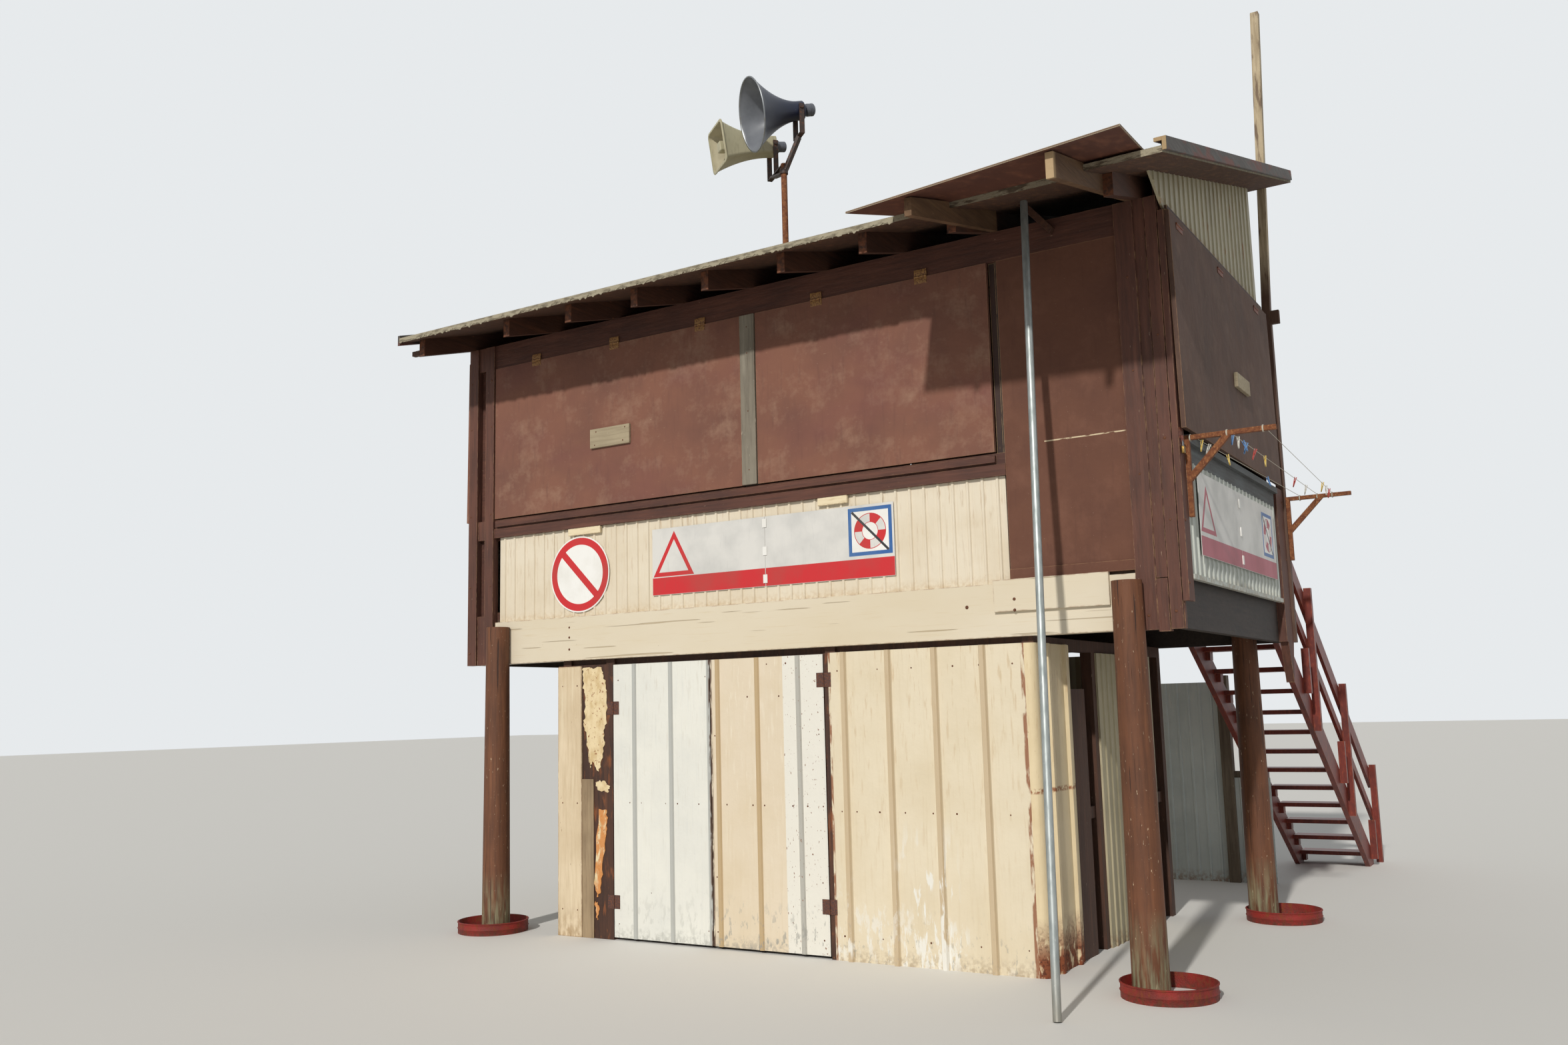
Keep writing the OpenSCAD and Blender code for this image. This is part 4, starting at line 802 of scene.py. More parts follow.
eased(rafters, rafters.edges, 0.002, 1)
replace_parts(settle("roof_rafters", rafters, "tower", "brown_timber", rafter_stain), "rafters")
# Newer softwood: still yellow-brown, with pale fresh-cut ends.
new_wood = stained_timber("newer_sawn_softwood", 1, "#6e5238", "#453020", "#8f7150", "#b59a74", 0.5)
coat(new_wood, along(1, -1.300, -1.335), "#c9ad84", 0.7)
dress(new_wood, "new_rafters")
# Red-brown film on sheet: smooth and matt, streaked across, with pale broken edges.
ply_sheet = finish("red_brown_film_on_sheet", "#5a3223", 0.75)
coat(ply_sheet, patches(0.4, 0.4, 0.7), "#4f2c22", 0.7)
coat(ply_sheet, patches(0.06, 0.5, 0.75, (1, 3, 1), seed=3), "#85543c", 0.6)
coat(ply_sheet, worn_edges(0.01, 0.1, 0.1, 0.3), "#b0a68c", 0.9)
dress(ply_sheet, "roof_sheet")
# Blue-grey paint on the edge boards: chalky, flaked to red wood, bare at the sawn end.
curb_paint = stained_timber("blue_grey_paint_on_curb", 1, "#585450", "#393330", "#74716b", "#6d4c3c", 0.8)
coat(curb_paint, patches(0.09, 0.5, 0.62, (1, 3, 1), seed=9), "#6d3f35", 0.8)
coat(curb_paint, along(1, -0.842, -0.846), "#ab9068", 0.9)


def on_slope(shape, left, right, front, back, low, high):
    """A board along the roof's slope with a plumb front end and a square back one."""
    rear = back - (high - low) * roof_slope
    prism(shape, 0, left, right, [(y, roof_under(y) + rise) for y, rise in (
        (front, low), (back, low), (rear, high), (front, high))])


eave_y, bay_y, deck_back = -0.65, -0.85, 2.994
curb = bmesh.new()
on_slope(curb, 0.616, 0.640, bay_y, 2.919, 0.012, 0.092)
on_slope(curb, 0.571, 0.616, bay_y, 2.919, 0.068, 0.092)
on_slope(curb, 0.571, 0.616, -0.70, 2.889, 0.040, 0.068)
on_slope(curb, -5.714, -5.690, eave_y, deck_back, -0.023, 0.062)
eased(curb, curb.edges, 0.0015, 1)
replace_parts(settle("roof_edge_boards", curb, "tower", "grey_fascia", curb_paint), "roof_curb")

# Roof deck
# Boards nailed over the rafters, bare and dark brown below, under grey mineral felt. The front
# edge is weathered pale grey, and the felt's torn hem hangs over it.

# Mineral felt: gritty and shineless on top, pale grey at the front edge; below, dark brown bare boards.
felt = finish("grey_mineral_felt", "#8f8874", 0.92)
coat(felt, patches(0.05, 0.45, 0.7, (4, 1, 1)), "#6a6352", 0.8)
coat(felt, patches(0.02, 0.55, 0.75, (3, 1, 1), seed=4), "#bdb49a", 0.8)
coat(felt, facing(1, -1), "#a29882", 0.9)
coat(felt, (facing(1, -1), patches(0.02, 0.5, 0.6, (5, 1, 1), seed=9)), "#5a4c3c", 0.9)
coat(felt, facing(2, -1), "#4c3222")
coat(felt, (facing(2, -1), patches(0.03, 0.5, 0.7, (1, 14, 1), seed=3)), "#6e4a2f", 0.8)
relief(felt, patches(0.012, 0.3, 0.7), 0.003)
bay_x, deck_thick = 0.166, 0.04
deck = bmesh.new()
for left, right, front in ((-5.69, bay_x, eave_y), (bay_x, 0.6155, bay_y)):
    prism(deck, 0, left, right, [(y, roof_under(y) + rise) for y, rise in (
        (front, 0), (deck_back, 0), (deck_back, deck_thick), (front, deck_thick))])
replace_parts(settle("roof_boards", deck, "tower", "grey_timber", felt), "roof_deck")

# A thin strip whose lower edge noise has bitten ragged, hung upright along the eave.
torn_hem, size = geometry_tree("torn_hem", {
    "Length": 4.54, "Drop": 0.03, "Thickness": 0.003, "Tear": 0.022, "Place": (-3.42, -0.6515, 4.744),
    "Seed": 7})
hem = add(torn_hem, "GeometryNodeMeshGrid", {
    "Size X": size["Length"], "Size Y": size["Drop"], "Vertices X": 560, "Vertices Y": 3})
spot = add(torn_hem, "ShaderNodeSeparateXYZ", {0: add(torn_hem, "GeometryNodeInputPosition").outputs[0]})
lower = add(torn_hem, "ShaderNodeMapRange", {"Value": spot.outputs[1], "From Min": 0.0, "From Max": -0.015})
ragged = add(torn_hem, "ShaderNodeTexNoise", {
    "W": size["Seed"], "Scale": 22.0, "Detail": 6.0, "Roughness": 0.7}, noise_dimensions="4D")
bite = add(torn_hem, "ShaderNodeMapRange", {
    "Value": ragged.outputs[0], "From Min": 0.35, "From Max": 0.65, "To Min": -1.0, "To Max": 0.6})
bite = add(torn_hem, "ShaderNodeMath", {0: bite.outputs[0], 1: lower.outputs[0]}, operation="MULTIPLY")
bite = add(torn_hem, "ShaderNodeMath", {0: bite.outputs[0], 1: size["Tear"]}, operation="MULTIPLY")
shift = add(torn_hem, "ShaderNodeCombineXYZ", {1: bite.outputs[0]})
hem = add(torn_hem, "GeometryNodeSetPosition", {"Geometry": hem.outputs[0], "Offset": shift.outputs[0]})
hem = add(torn_hem, "GeometryNodeTransform", {
    "Geometry": hem.outputs[0], "Rotation": (math.pi / 2, 0.0, 0.0), "Translation": size["Place"]})
back = add(torn_hem, "GeometryNodeFlipFaces", {"Mesh": hem.outputs[0]})
hem = add(torn_hem, "GeometryNodeExtrudeMesh", {
    "Mesh": hem.outputs[0], "Offset Scale": size["Thickness"], "Individual": False})
hem = add(torn_hem, "GeometryNodeJoinGeometry", {0: hem.outputs[0]})
torn_hem.links.new(back.outputs[0], hem.inputs[0])
hem = add(torn_hem, "GeometryNodeMergeByDistance", {"Geometry": hem.outputs[0], "Distance": 0.00005})
end_tree(torn_hem, hem.outputs[0], size["Material"])
# Torn felt: a pale ragged line under the eave, blotched dark where the grit has gone.
hem_felt = finish("torn_felt_hem", "#a59c86", 0.95)
coat(hem_felt, patches(0.02, 0.45, 0.65, (3, 1, 1)), "#6d6453", 0.9)
relief(hem_felt, patches(0.004, 0.3, 0.7), 0.001)
grown("felt_hem", [(0, 0, 0)], torn_hem, hem_felt, "tower", "grey_timber")

# Prop pole
# A galvanised water pipe that leans from the ground against the eave and holds it up. It has
# dulled and picked up dirt at its foot.

# Old zinc: a broken grey shine, dull streaks and bright rubbed spots, brown at the foot.
zinc = finish("dull_galvanised_pipe", "#a8adab", 0.45, 0.6)
coat(zinc, patches(0.03, 0.4, 0.7, (1, 1, 4)), "#7e8685", 0.7, 0.55)
coat(zinc, patches(0.012, 0.68, 0.76, (1, 1, 2), seed=5), "#c9cdca", 0.7)
coat(zinc, along(2, 0.35, 0.0), "#8a7a62", 0.5)
dress(zinc, "prop_pole")

# Store
# A sawn timber frame clad in deep-ribbed pressed sheets, nailed on. They are worn cream to the right
# of the doors, rusted at the cut edges and near the ground, and a darker grey cream on the right side.

# Bare brown frame: dull rough wood, dark with age.
frame_stain = stained_timber("bare_brown_store_frame", 2, "#4d3021", "#2b1a12", "#6d4630")
dress(frame_stain, "store_frame")


def every(axis, start, pitch, width, soft=0.002):
    """Mask of bands of a width that repeat along an axis from a place, in metres."""
    def mask(tree):
        place = add(tree, "ShaderNodeTexCoord").outputs["Object"]
        split = add(tree, "ShaderNodeSeparateXYZ", {0: place})
        origin = start - pitch / 2
        moved = add(tree, "ShaderNodeMath", {0: split.outputs[axis], 1: origin}, operation="SUBTRACT")
        turn = add(tree, "ShaderNodeMath", {0: moved.outputs[0], 1: pitch}, operation="FLOORED_MODULO")
        away = add(tree, "ShaderNodeMath", {0: turn.outputs[0], 1: pitch / 2}, operation="SUBTRACT")
        away = add(tree, "ShaderNodeMath", {0: away.outputs[0]}, operation="ABSOLUTE")
        return add(tree, "ShaderNodeMapRange", {
            "Value": away.outputs[0], "From Min": width / 2 + soft, "From Max": width / 2}).outputs[0]
    return mask


rib_pitch, sheet_top = 0.345, 2.06
# Cream gloss on deep ribs: a tan band of painted shade along each rib, scuffed to white low down,
# rust along the cut edges.
store_cream = painted_sheet(
    "cream_on_deep_ribbed_steel", "#dfd3ba", "#d0c0a0", "#b5925f", "#a8957a", 0.0, sheet_top)
# Painted shade: a tan band down each rib, for the rib's shaded side.
coat(store_cream, every(0, -2.037, rib_pitch, 0.040), "#bfa988", 0.8)
coat(store_cream, (
    along(2, 0.60, 0.05), patches(0.06, 0.52, 0.57, (1, 1, 3.5), seed=14, detail=8, rough=0.7),
    patches(0.5, 0.44, 0.56, seed=16, detail=1)), "#e6e4dc", 0.95)
coat(store_cream, (
    along(2, 0.4, 0.0), patches(0.025, 0.6, 0.66, (1, 1, 2.5), seed=15, detail=6)), "#8d8c86", 0.6)
coat(store_cream, (
    *within(0, -1.62, -1.30, 0.08), patches(0.05, 0.56, 0.6, (1, 1, 5), seed=18, detail=7),
    along(2, 0.95, 0.55)), "#e6e4dc", 0.95)
for low, high, seed in ((-0.742, -0.710, 43), (-2.175, -2.148, 44)):
    coat(store_cream, (
        *within(0, low, high, 0.006), patches(0.04, 0.41, 0.51, (1, 1, 4), seed=seed),
        along(1, 0.20, 0.15)), "#8a5230", 0.9)
dress(store_cream, "store_side_left", "store_back")
# Yellowed cream on the bent corner sheet: its foot and its lap seam have gone to brown flaking rust.
corner_cream = painted_sheet(
    "cream_on_corner_sheet", "#dfcda8", "#c6b086", "#a87c4c", "#7f3f20", 0.0, sheet_top)
corner_rust = along(2, 0.36, 0.10), patches(0.06, 0.38, 0.46, (1, 1, 1.6), seed=22, detail=7)
coat(corner_cream, corner_rust, "#7a3b1c", 0.97, 0.9)
coat(corner_cream, (*corner_rust, patches(0.02, 0.5, 0.6, seed=24)), "#4a2414", 0.8)
coat(corner_cream, (*within(2, 1.118, 1.136, 0.012), patches(0.03, 0.42, 0.55, seed=23)), "#8a4a26", 0.9, 0.9)
dress(corner_cream, "store_corner_sheet")
# Grey cream on the side sheet: dull and darker than the front's, with pale washed streaks.
side_grey = painted_sheet("grey_cream_on_store_side", "#b4aa8c", "#8f866b", "#d2cab2", "#7a5236", 0.0, 2.0)
dress(side_grey, "store_side_right")

# Store front
# Ribbed sheet nailed over boarding. At the left the sheet has rotted away, and a cream board, a
# bare batten and torn scraps are left on boarding black with age.

# Rotten boarding: almost black, fibrous, orange where the wood is breaking up.
boarding = stained_timber("rotten_dark_boarding", 2, "#4a2d1f", "#24150e", "#75482c", "#b0703a", 0.8)
coat(boarding, patches(0.05, 0.58, 0.7, (1, 1, 4), seed=33), "#8a4f28", 0.8)
front = bmesh.new()
front_line = rib_line(-2.162, -0.719, -2.040, rib_pitch, 0.094, 0.072, 0.015, 0.012)
wall_top, wall_back = 2.058, 0.118
ribbed(front, 0, front_line, wall_back, lambda x: (0.0, wall_top))
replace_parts(settle("store_front_sheet", front, "tower", "cream_sheet", store_cream), "store_front_cladding")

# Cream on rotten scraps: thick yellowed paint, rust spots, orange along the lowest pieces.
scrap_paint = finish("cream_on_rotten_scrap", "#e3cfa6", 0.6)
coat(scrap_paint, patches(0.05, 0.45, 0.65, (1, 1, 2)), "#c7ab7a", 0.8)
coat(scrap_paint, patches(0.02, 0.62, 0.66, seed=5, detail=6), "#8a5230", 0.95, 0.9)
coat(scrap_paint, (along(2, 1.1, 0.95), patches(0.03, 0.36, 0.48, (1, 1, 3), seed=7)), "#cc8340", 0.9)
relief(scrap_paint, patches(0.05, 0.2, 0.8), 0.004)
# Cream on the old board: brush-grained, worn to brown wood at the edges and dirty at the foot.
old_board = stained_timber("cream_on_old_board", 2, "#ddcbad", "#c0aa88", "#e8dcc0", "#8b6242", 0.9)
coat(old_board, worn_edges(0.012, 0.05, 0.3, 0.5), "#7d553a", 0.9)
coat(old_board, (along(2, 0.25, 0.0), patches(0.04, 0.4, 0.6, (1, 1, 2))), "#a58a66", 0.9)
# Bare batten: pale grey-brown with a fine upright grain.
bare_batten = stained_timber("bare_grey_batten", 2, "#a08a6c", "#6f5b44", "#bda888", "#d6c6a6", 0.7)
BOARDING, OLD_BOARD, BARE_BATTEN = range(3)
wall_left, sheet_face = -4.633, 0.094
wall = bmesh.new()
board(wall, (wall_left, sheet_face, 0.0), (-4.084, wall_back, wall_top), 0.0, BOARDING)
board(wall, (-2.196, 0.096, 0.0), (-2.162, wall_back, wall_top), 0.0, BOARDING)
board(wall, (-4.628, 0.080, 0.0), (-4.388, sheet_face, 2.052), 0.003, OLD_BOARD)
board(wall, (-4.388, 0.084, 0.0), (-4.273, sheet_face, 1.183), 0.003, BARE_BATTEN)
settle("store_front_boards", wall, "tower", "dark_timber", boarding, old_board, bare_batten)
# Outlines of the scraps: millimetres from the wall's left end, and shares of its height.
torn = (
    ((246, .99), (260, .977), (254, .92), (272, .894), (278, .81), (258, .78), (290, .74), (312, .645),
     (326, .616), (346, .64), (410, .603), (436, .645), (469, .7), (462, .745), (488, .79), (492, .87),
     (485, .92), (456, .965), (441, .99)),
    ((380, .563), (450, .57), (522, .55), (500, .526), (400, .535)),
    ((411, .466), (489, .463), (490, .417), (475, .363), (439, .246), (427, .166), (386, .147), (364, .209)),
    ((373, .133), (408, .115), (400, .068), (378, .075)))


def jagged(outline, bite, parts, seed):
    """An outline whose edges are broken into parts, each moved a little in or out."""
    result = []
    for i, (u, v) in enumerate(outline):
        run = Vector(outline[(i + 1) % len(outline)]) - Vector((u, v))
        side = Vector((run.y, -run.x)).normalized()
        for k in range(parts):
            sway = math.sin(seed + 12.9 * i + 7.3 * k) * math.sin(2.1 * seed + 4.7 * i + 3.9 * k)
            sway = bite * sway if k else 0.0
            result.append(tuple(Vector((u, v)) + run * (k / parts) + side * sway))
    return result


scraps = bmesh.new()
for number, outline in enumerate(torn):
    prism(scraps, 1, 0.0885, 0.0925,
          jagged([(wall_left + u / 1000, v * wall_top) for u, v in outline], 0.012, 5, number))
settle("store_front_scraps", scraps, "tower", "cream_sheet", scrap_paint)
nails("store_front_nails", [(x, sheet_face, z) for z, places in (
    (0.98, (-2.083, -1.967, -1.793, -1.602, -1.399, -1.23, -1.0, -0.86)),
    (1.93, (-2.09, -1.777, -1.52, -1.218, -1.03, -0.80)),
    (0.16, (-2.09, -1.80, -1.45, -1.1, -0.78))) for x in places]
      + [(x, 0.080, z) for x in (-4.58, -4.43) for z in (0.2, 1.0, 1.9)], 0.006, 8)

# Store door leaves
# Two or three ribbed sheets nailed to a ledge-and-brace frame that hangs on butt hinges. The left
# leaf is white with grey painted shade along its ribs, the right one straw with a white strip at its
# hinge edge.

# Bare leaf frame: brown sawn wood with an upright grain.
leaf_timber = stained_timber("bare_leaf_frame", 2, "#6b4a33", "#3f291c", "#8d6848", "#b59a74")
# White gloss on ribs: the brightest sheet, with grey painted shade along the ribs, a rusty free edge
# and a scuffed foot.
white_leaf = painted_sheet("white_on_door_leaf", "#e4e3da", "#d0d1cc", "#c4beb0", "#a3a39a", 0.0, sheet_top)
# Painted shade: a grey band down each rib.
coat(white_leaf, every(0, -3.872, rib_pitch, 0.036), "#b3b4af")
coat(white_leaf, (along(0, -3.190, -3.178), patches(0.03, 0.38, 0.5, (1, 1, 4), seed=41)), "#513626", 0.95)
coat(white_leaf, (
    along(2, 0.5, 0.0), patches(0.04, 0.54, 0.62, (1, 1, 2), seed=14, detail=7)), "#b2b2aa", 0.5)
# Straw gloss on ribs: warm, with tan painted shade along the ribs, rust at both edges and a white
# strip with rust spots and grey painted shade along its rib.
straw_leaf = painted_sheet("straw_on_door_leaf", "#ddcfb8", "#d1bf9f", "#eee6d4", "#8f8a80", 0.0, sheet_top)
# Painted shade: a tan band down each rib.
coat(straw_leaf, every(0, -3.098, rib_pitch, 0.036), "#b69c74", 0.9)
for start, end in ((-3.146, -3.158), (-2.220, -2.208)):
    coat(straw_leaf, (along(0, start, end), patches(0.03, 0.38, 0.5, (1, 1, 4), seed=42)), "#513626", 0.95)
strip = within(0, -2.535, -2.203, 0.006)
coat(straw_leaf, strip, "#e3e1d8", 0.9)
# Painted shade: a grey band down the rib in the white strip.
coat(straw_leaf, within(0, -2.426, -2.390, 0.002), "#aba9a1", 0.9)
coat(straw_leaf, (*strip, patches(0.014, 0.66, 0.7, (1, 1, 1.6), seed=27, detail=3)), "#7c4a2c", 0.9)
coat(straw_leaf, (
    along(2, 0.4, 0.0), patches(0.03, 0.56, 0.62, (1, 1, 2.5), seed=14, detail=7)), "#8f8f8a", 0.9)
# Rusted hinge steel: rough, dark brown with orange bloom.
hinge_rust = finish("rusted_butt_hinge", "#4a3430", 0.8)
coat(hinge_rust, patches(0.01, 0.45, 0.65), "#7a4526", 0.8)


def leaf(name, left, wide, first_rib, pin_x, side, knuckles, body, slot, paint):
    """A door leaf: its sheet in front, ledges, braces and stiles behind, and its hinge halves."""
    shape = bmesh.new()
    frame_wood, hinge = 1, 2
    right, low, middle, high = left + wide, 0.020, 0.97, 2.051
    stile_y, ledge_y, pin_y, pin_r = 0.0968, 0.1142, 0.088, 0.006
    ribbed(shape, 0, rib_line(left, right, left + first_rib, rib_pitch, sheet_face, 0.082, 0.013, 0.010),
           0.0965, lambda x: (low, high))
    for a, b in ((left + 0.001, left + 0.071), (right - 0.071, right - 0.001)):
        board(shape, (a, stile_y, low + 0.004), (b, 0.114, high - 0.004), 0.002, frame_wood)
    for z in (low + 0.06, middle, high - 0.16):
        board(shape, (left + 0.002, ledge_y, z), (right - 0.002, 0.134, z + 0.1), 0.002, frame_wood)
    for foot, head in ((low + 0.16, middle), (middle + 0.1, high - 0.22)):
        brace = [(left + 0.05, foot), (left + 0.17, foot), (right - 0.05, head), (right - 0.17, head)]
        if side > 0:
            brace = [(left + right - u, z) for u, z in brace]
        prism(shape, 1, ledge_y, 0.1335, brace, frame_wood)
    for z in knuckles:
        start, end = sorted((pin_x, pin_x + side * 0.058))
        board(shape, (start, 0.0912, z), (end, 0.0938, z + 0.1), 0.0006, hinge)
        foot, head = 0.0337, 0.0663
        spun(shape, [(0, foot, hinge), (pin_r, foot, hinge), (pin_r, head, hinge), (0, head, hinge)],
             Matrix.Translation((pin_x, pin_y, z)), 20)
    return settle(name, shape, body, slot, paint, leaf_timber, hinge_rust)


left_leaf = leaf("left_door_leaf", -4.077, 0.905, 0.203, -4.0805, 1, (0.227, 1.670),
                 "left_leaf", "white_sheet", white_leaf)
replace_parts(left_leaf, "store_door_left")
right_leaf = leaf("right_door_leaf", -3.165, 0.962, 0.065, -2.1995, -1, (0.293, 1.823),
                  "right_leaf", "straw_sheet", straw_leaf)
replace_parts(right_leaf, "store_door_right")
dress(hinge_rust, "store_hinges")
nails("left_leaf_nails", [(x, sheet_face, 1.01) for x in (-3.923, -3.813, -3.476, -3.283)]
      + [(-3.586, sheet_face, 1.01), (-3.726, sheet_face, 0.359)]
      + [(x, sheet_face, z) for x in (-4.03, -3.21) for z in (0.12, 1.93)], 0.005, 9, "left_leaf")
nails("right_leaf_nails", [(x, sheet_face, 1.01) for x in (-3.033, -2.809, -2.711, -2.476, -2.355, -2.23)]
      + [(x, sheet_face, z) for x, z in ((-2.67, 2.0), (-2.509, 2.0), (-2.84, 1.773), (-2.572, 1.771))]
      + [(x, sheet_face, z) for x in (-3.13, -2.25) for z in (0.12, 0.5, 1.5)], 0.006, 10, "right_leaf")

# Rear screen
# Pale blue ribbed sheets nailed to a square post and a rail beside the foot of the stair. The one
# next to the stair is low.

# Washed-out blue on ribbed sheet: a faint shine, pale streaks, rust at the foot.
screen_blue = painted_sheet("pale_blue_on_rear_screen", "#ccd4d3", "#a4afb0", "#dcdcd4", "#8a6244", 0.0, 1.85)
# Bare post: grey sawn wood.
screen_wood = stained_timber("grey_screen_post", 2, "#6f6252", "#463b2f", "#8f8270", "#a89c88")
screen_ribs = (0.107, 4.956, 4.966, 0.007, 0.006)
# The ribs face forwards here: a depth and its mirror image add up to this.
mirror_y = 9.907
screen_post = 1
screen = bmesh.new()
for start, end, first, top in ((-1.824, -0.744, -1.77, 1.84), (-0.643, -0.324, -0.59, 0.95)):
    ribbed(screen, 0, [(x, mirror_y - y) for x, y in rib_line(start, end, first, *screen_ribs)], 4.964,
           lambda x: (0.0, top))
board(screen, (-0.744, 4.906, 0.0), (-0.644, 5.006, 1.90), 0.004, screen_post)
board(screen, (-1.824, 4.967, 0.91), (-0.745, 5.006, 1.01), 0.003, screen_post)
board(screen, (-0.643, 4.967, 0.91), (-0.50, 5.006, 1.01), 0.003, screen_post)
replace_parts(settle("stair_screen", screen, "tower", "pale_blue_sheet", screen_blue, screen_wood),
            "rear_screen")

# Stair
# Plank treads on blocks between two plank stringers, with a handrail on posts. All of it is in
# red-brown gloss that has faded to orange in patches and worn through at the edges.

# Red-brown gloss: the shiniest wood of the tower, darker in blotches, orange and bare where worn.
stair_paint = finish("red_brown_gloss_on_stair", "#6f271c", 0.45)
coat(stair_paint, patches(0.25, 0.42, 0.68), "#4d1c15", 0.75)
coat(stair_paint, patches(0.02, 0.5, 0.75, (1, 3, 3), seed=2), "#9a4428", 0.6)
coat(stair_paint, worn_edges(0.006, 0.05), "#b5673c", 0.8)
dress(stair_paint, "stair_stringers", "stair_treads", "stair_handrail")

# Flagpole and brackets
# A square pole fixed to the back corner, bleached and stained above the roof, and two brackets
# welded from square bar and left in bare rust.

# Bleached pole: pale dry wood with dark stains, brown where the roof shades it.
pole_wood = stained_timber("bleached_flagpole", 2, "#c4b394", "#8a775c", "#dccdb0", "#6a5038", 0.8)
coat(pole_wood, along(2, 5.3, 4.9), "#4a2d22", 0.95)
coat(pole_wood, patches(0.05, 0.52, 0.62, (1, 1, 5), seed=21), "#5e4635", 0.8)
pole_left, pole_wide, pole_foot, pole_bend, pole_top, pole_lean = 0.310, 0.064, 2.1, 4.78, 7.35, 0.094
pole = bmesh.new()
prism(pole, 1, 3.004, 3.068, [(pole_left + u, z) for u, z in (
    (0, pole_foot), (pole_wide, pole_foot), (pole_wide, pole_bend), (pole_lean + pole_wide, pole_top),
    (pole_lean, pole_top), (0, pole_bend))])
eased(pole, pole.edges, 0.004)
board(pole, (0.374, 3.016, 4.670), (0.438, 3.056, pole_bend))
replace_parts(settle("flag_pole", pole, "tower", "pale_pole", pole_wood), "flagpole")
# Bare rusted steel: rough, brown and orange, with no shine.
rust = finish("bare_rusted_steel", "#84512f", 0.85)
coat(rust, patches(0.03, 0.4, 0.62), "#5f301b", 0.8)
coat(rust, patches(0.012, 0.55, 0.7, seed=3), "#a8764a", 0.8)
relief(rust, patches(0.005, 0.3, 0.7), 0.001)
dress(rust, "speaker_mast")


def line_bracket(shape, x, y, top, reach):
    """A bracket of square bar: an upright on the wall, an arm, and a stay between them."""
    bar, inset = 0.03, 0.001
    board(shape, (x, y, top - 0.504), (x + bar, y + bar, top), 0.002)
    board(shape, (x + bar, y, top - bar), (x + reach, y + bar, top), 0.002)
    prism(shape, 1, y + inset, y + bar - inset, [(x + u, top + v) for u, v in (
        (bar - inset, -0.286), (0.278, inset - bar), (0.226, inset - bar), (bar - inset, -0.229))])


brackets = bmesh.new()
line_bracket(brackets, right_face, 0.182, 3.274, 0.540)
line_bracket(brackets, 0.374, 3.021, 3.248, 0.483)
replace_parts(settle("line_brackets", brackets, "tower", "rusty_steel", rust), "clothesline_brackets")

# Clotheslines
# Three thin nylon strings tied round the two arms and strained between them, with plastic pegs
# left clipped on them.

# Greyed nylon: a dull pale line.
string_paint = finish("greyed_nylon_string", "#c9c3b2", 0.7)
coat(string_paint, patches(0.004, 0.45, 0.6), "#9a9384", 0.7)
strings = ((0.39, 0.48), (0.61, 0.61), (0.82, 0.72))
near_y, far_y, near_z, far_z, tie_drop = 0.197, 3.036, 3.2745, 3.2485, 0.0155
lines = bmesh.new()
for near, far in strings:
    tube(lines, [(near, near_y, near_z), (near, 0.214, near_z + 0.001), (far, 3.019, far_z + 0.001),
                 (far, far_y, far_z)], 0.0018, 6)
    for place in ((near, near_y, near_z - tie_drop), (far, far_y, far_z - tie_drop)):
        spun(lines, [(0.0195, -0.004, 0), (0.0225, -0.004, 0), (0.0225, 0.004, 0), (0.0195, 0.004, 0)],
             Matrix.Translation(place) @ Matrix.Rotation(math.pi / 2, 4, "Y"), 20)
settle("clothes_strings", lines, "tower", "cream_timber", string_paint)

# Two leaning arms and a spring coil make a peg, hung on each point and swung a little at random.
pegs, size = geometry_tree("spring_pegs", {
    "Length": 0.075, "Width": 0.011, "Arm": 0.0048, "Mouth": 9.0, "Along": (0.0, 1.0, 0.0), "Seed": 3})
arm_size = add(pegs, "ShaderNodeCombineXYZ", {0: size["Arm"], 1: size["Width"], 2: size["Length"]})
arm = add(pegs, "GeometryNodeMeshCube", {
    "Size": arm_size.outputs[0], "Vertices X": 2, "Vertices Y": 2, "Vertices Z": 5})
peg = add(pegs, "GeometryNodeJoinGeometry")
for sign in (1, -1):
    lean = add(pegs, "ShaderNodeMath", {0: size["Mouth"], 1: math.radians(sign * 0.5)}, operation="MULTIPLY")
    turn = add(pegs, "ShaderNodeCombineXYZ", {1: lean.outputs[0]})
    half = add(pegs, "ShaderNodeMath", {0: size["Arm"], 1: 0.72 * sign}, operation="MULTIPLY")
    away = add(pegs, "ShaderNodeCombineXYZ", {0: half.outputs[0]})
    leaned = add(pegs, "GeometryNodeTransform", {
        "Geometry": arm.outputs[0], "Translation": away.outputs[0], "Rotation": turn.outputs[0]})
    pegs.links.new(leaned.outputs[0], peg.inputs[0])
coil = add(pegs, "GeometryNodeMeshCylinder", {"Vertices": 12, "Radius": 0.0042, "Depth": 0.0135})
coil = add(pegs, "GeometryNodeTransform", {
    "Geometry": coil.outputs[0], "Translation": (0.0, 0.0, 0.004), "Rotation": (math.pi / 2, 0.0, 0.0)})
pegs.links.new(coil.outputs[0], peg.inputs[0])
drop = add(pegs, "ShaderNodeMath", {0: size["Length"], 1: -0.34}, operation="MULTIPLY")
drop = add(pegs, "ShaderNodeCombineXYZ", {2: drop.outputs[0]})
hung = add(pegs, "GeometryNodeTransform", {"Geometry": peg.outputs[0], "Translation": drop.outputs[0]})
swing = add(pegs, "FunctionNodeRandomValue", {2: -0.45, 3: 0.45, "Seed": size["Seed"]}, data_type="FLOAT")
tilt = add(pegs, "ShaderNodeCombineXYZ", {1: swing.outputs[1]})
aim = add(pegs, "FunctionNodeAlignRotationToVector", {"Vector": size["Along"]}, axis="Y", pivot_axis="Z")
aim = add(pegs, "FunctionNodeRotateRotation", {0: aim.outputs[0], 1: tilt.outputs[0]}, rotation_space="LOCAL")
clipped = add(pegs, "GeometryNodeInstanceOnPoints", {
    "Points": size["Geometry"], "Instance": hung.outputs[0], "Rotation": aim.outputs[0]})
end_tree(pegs, clipped.outputs[0], size["Material"])
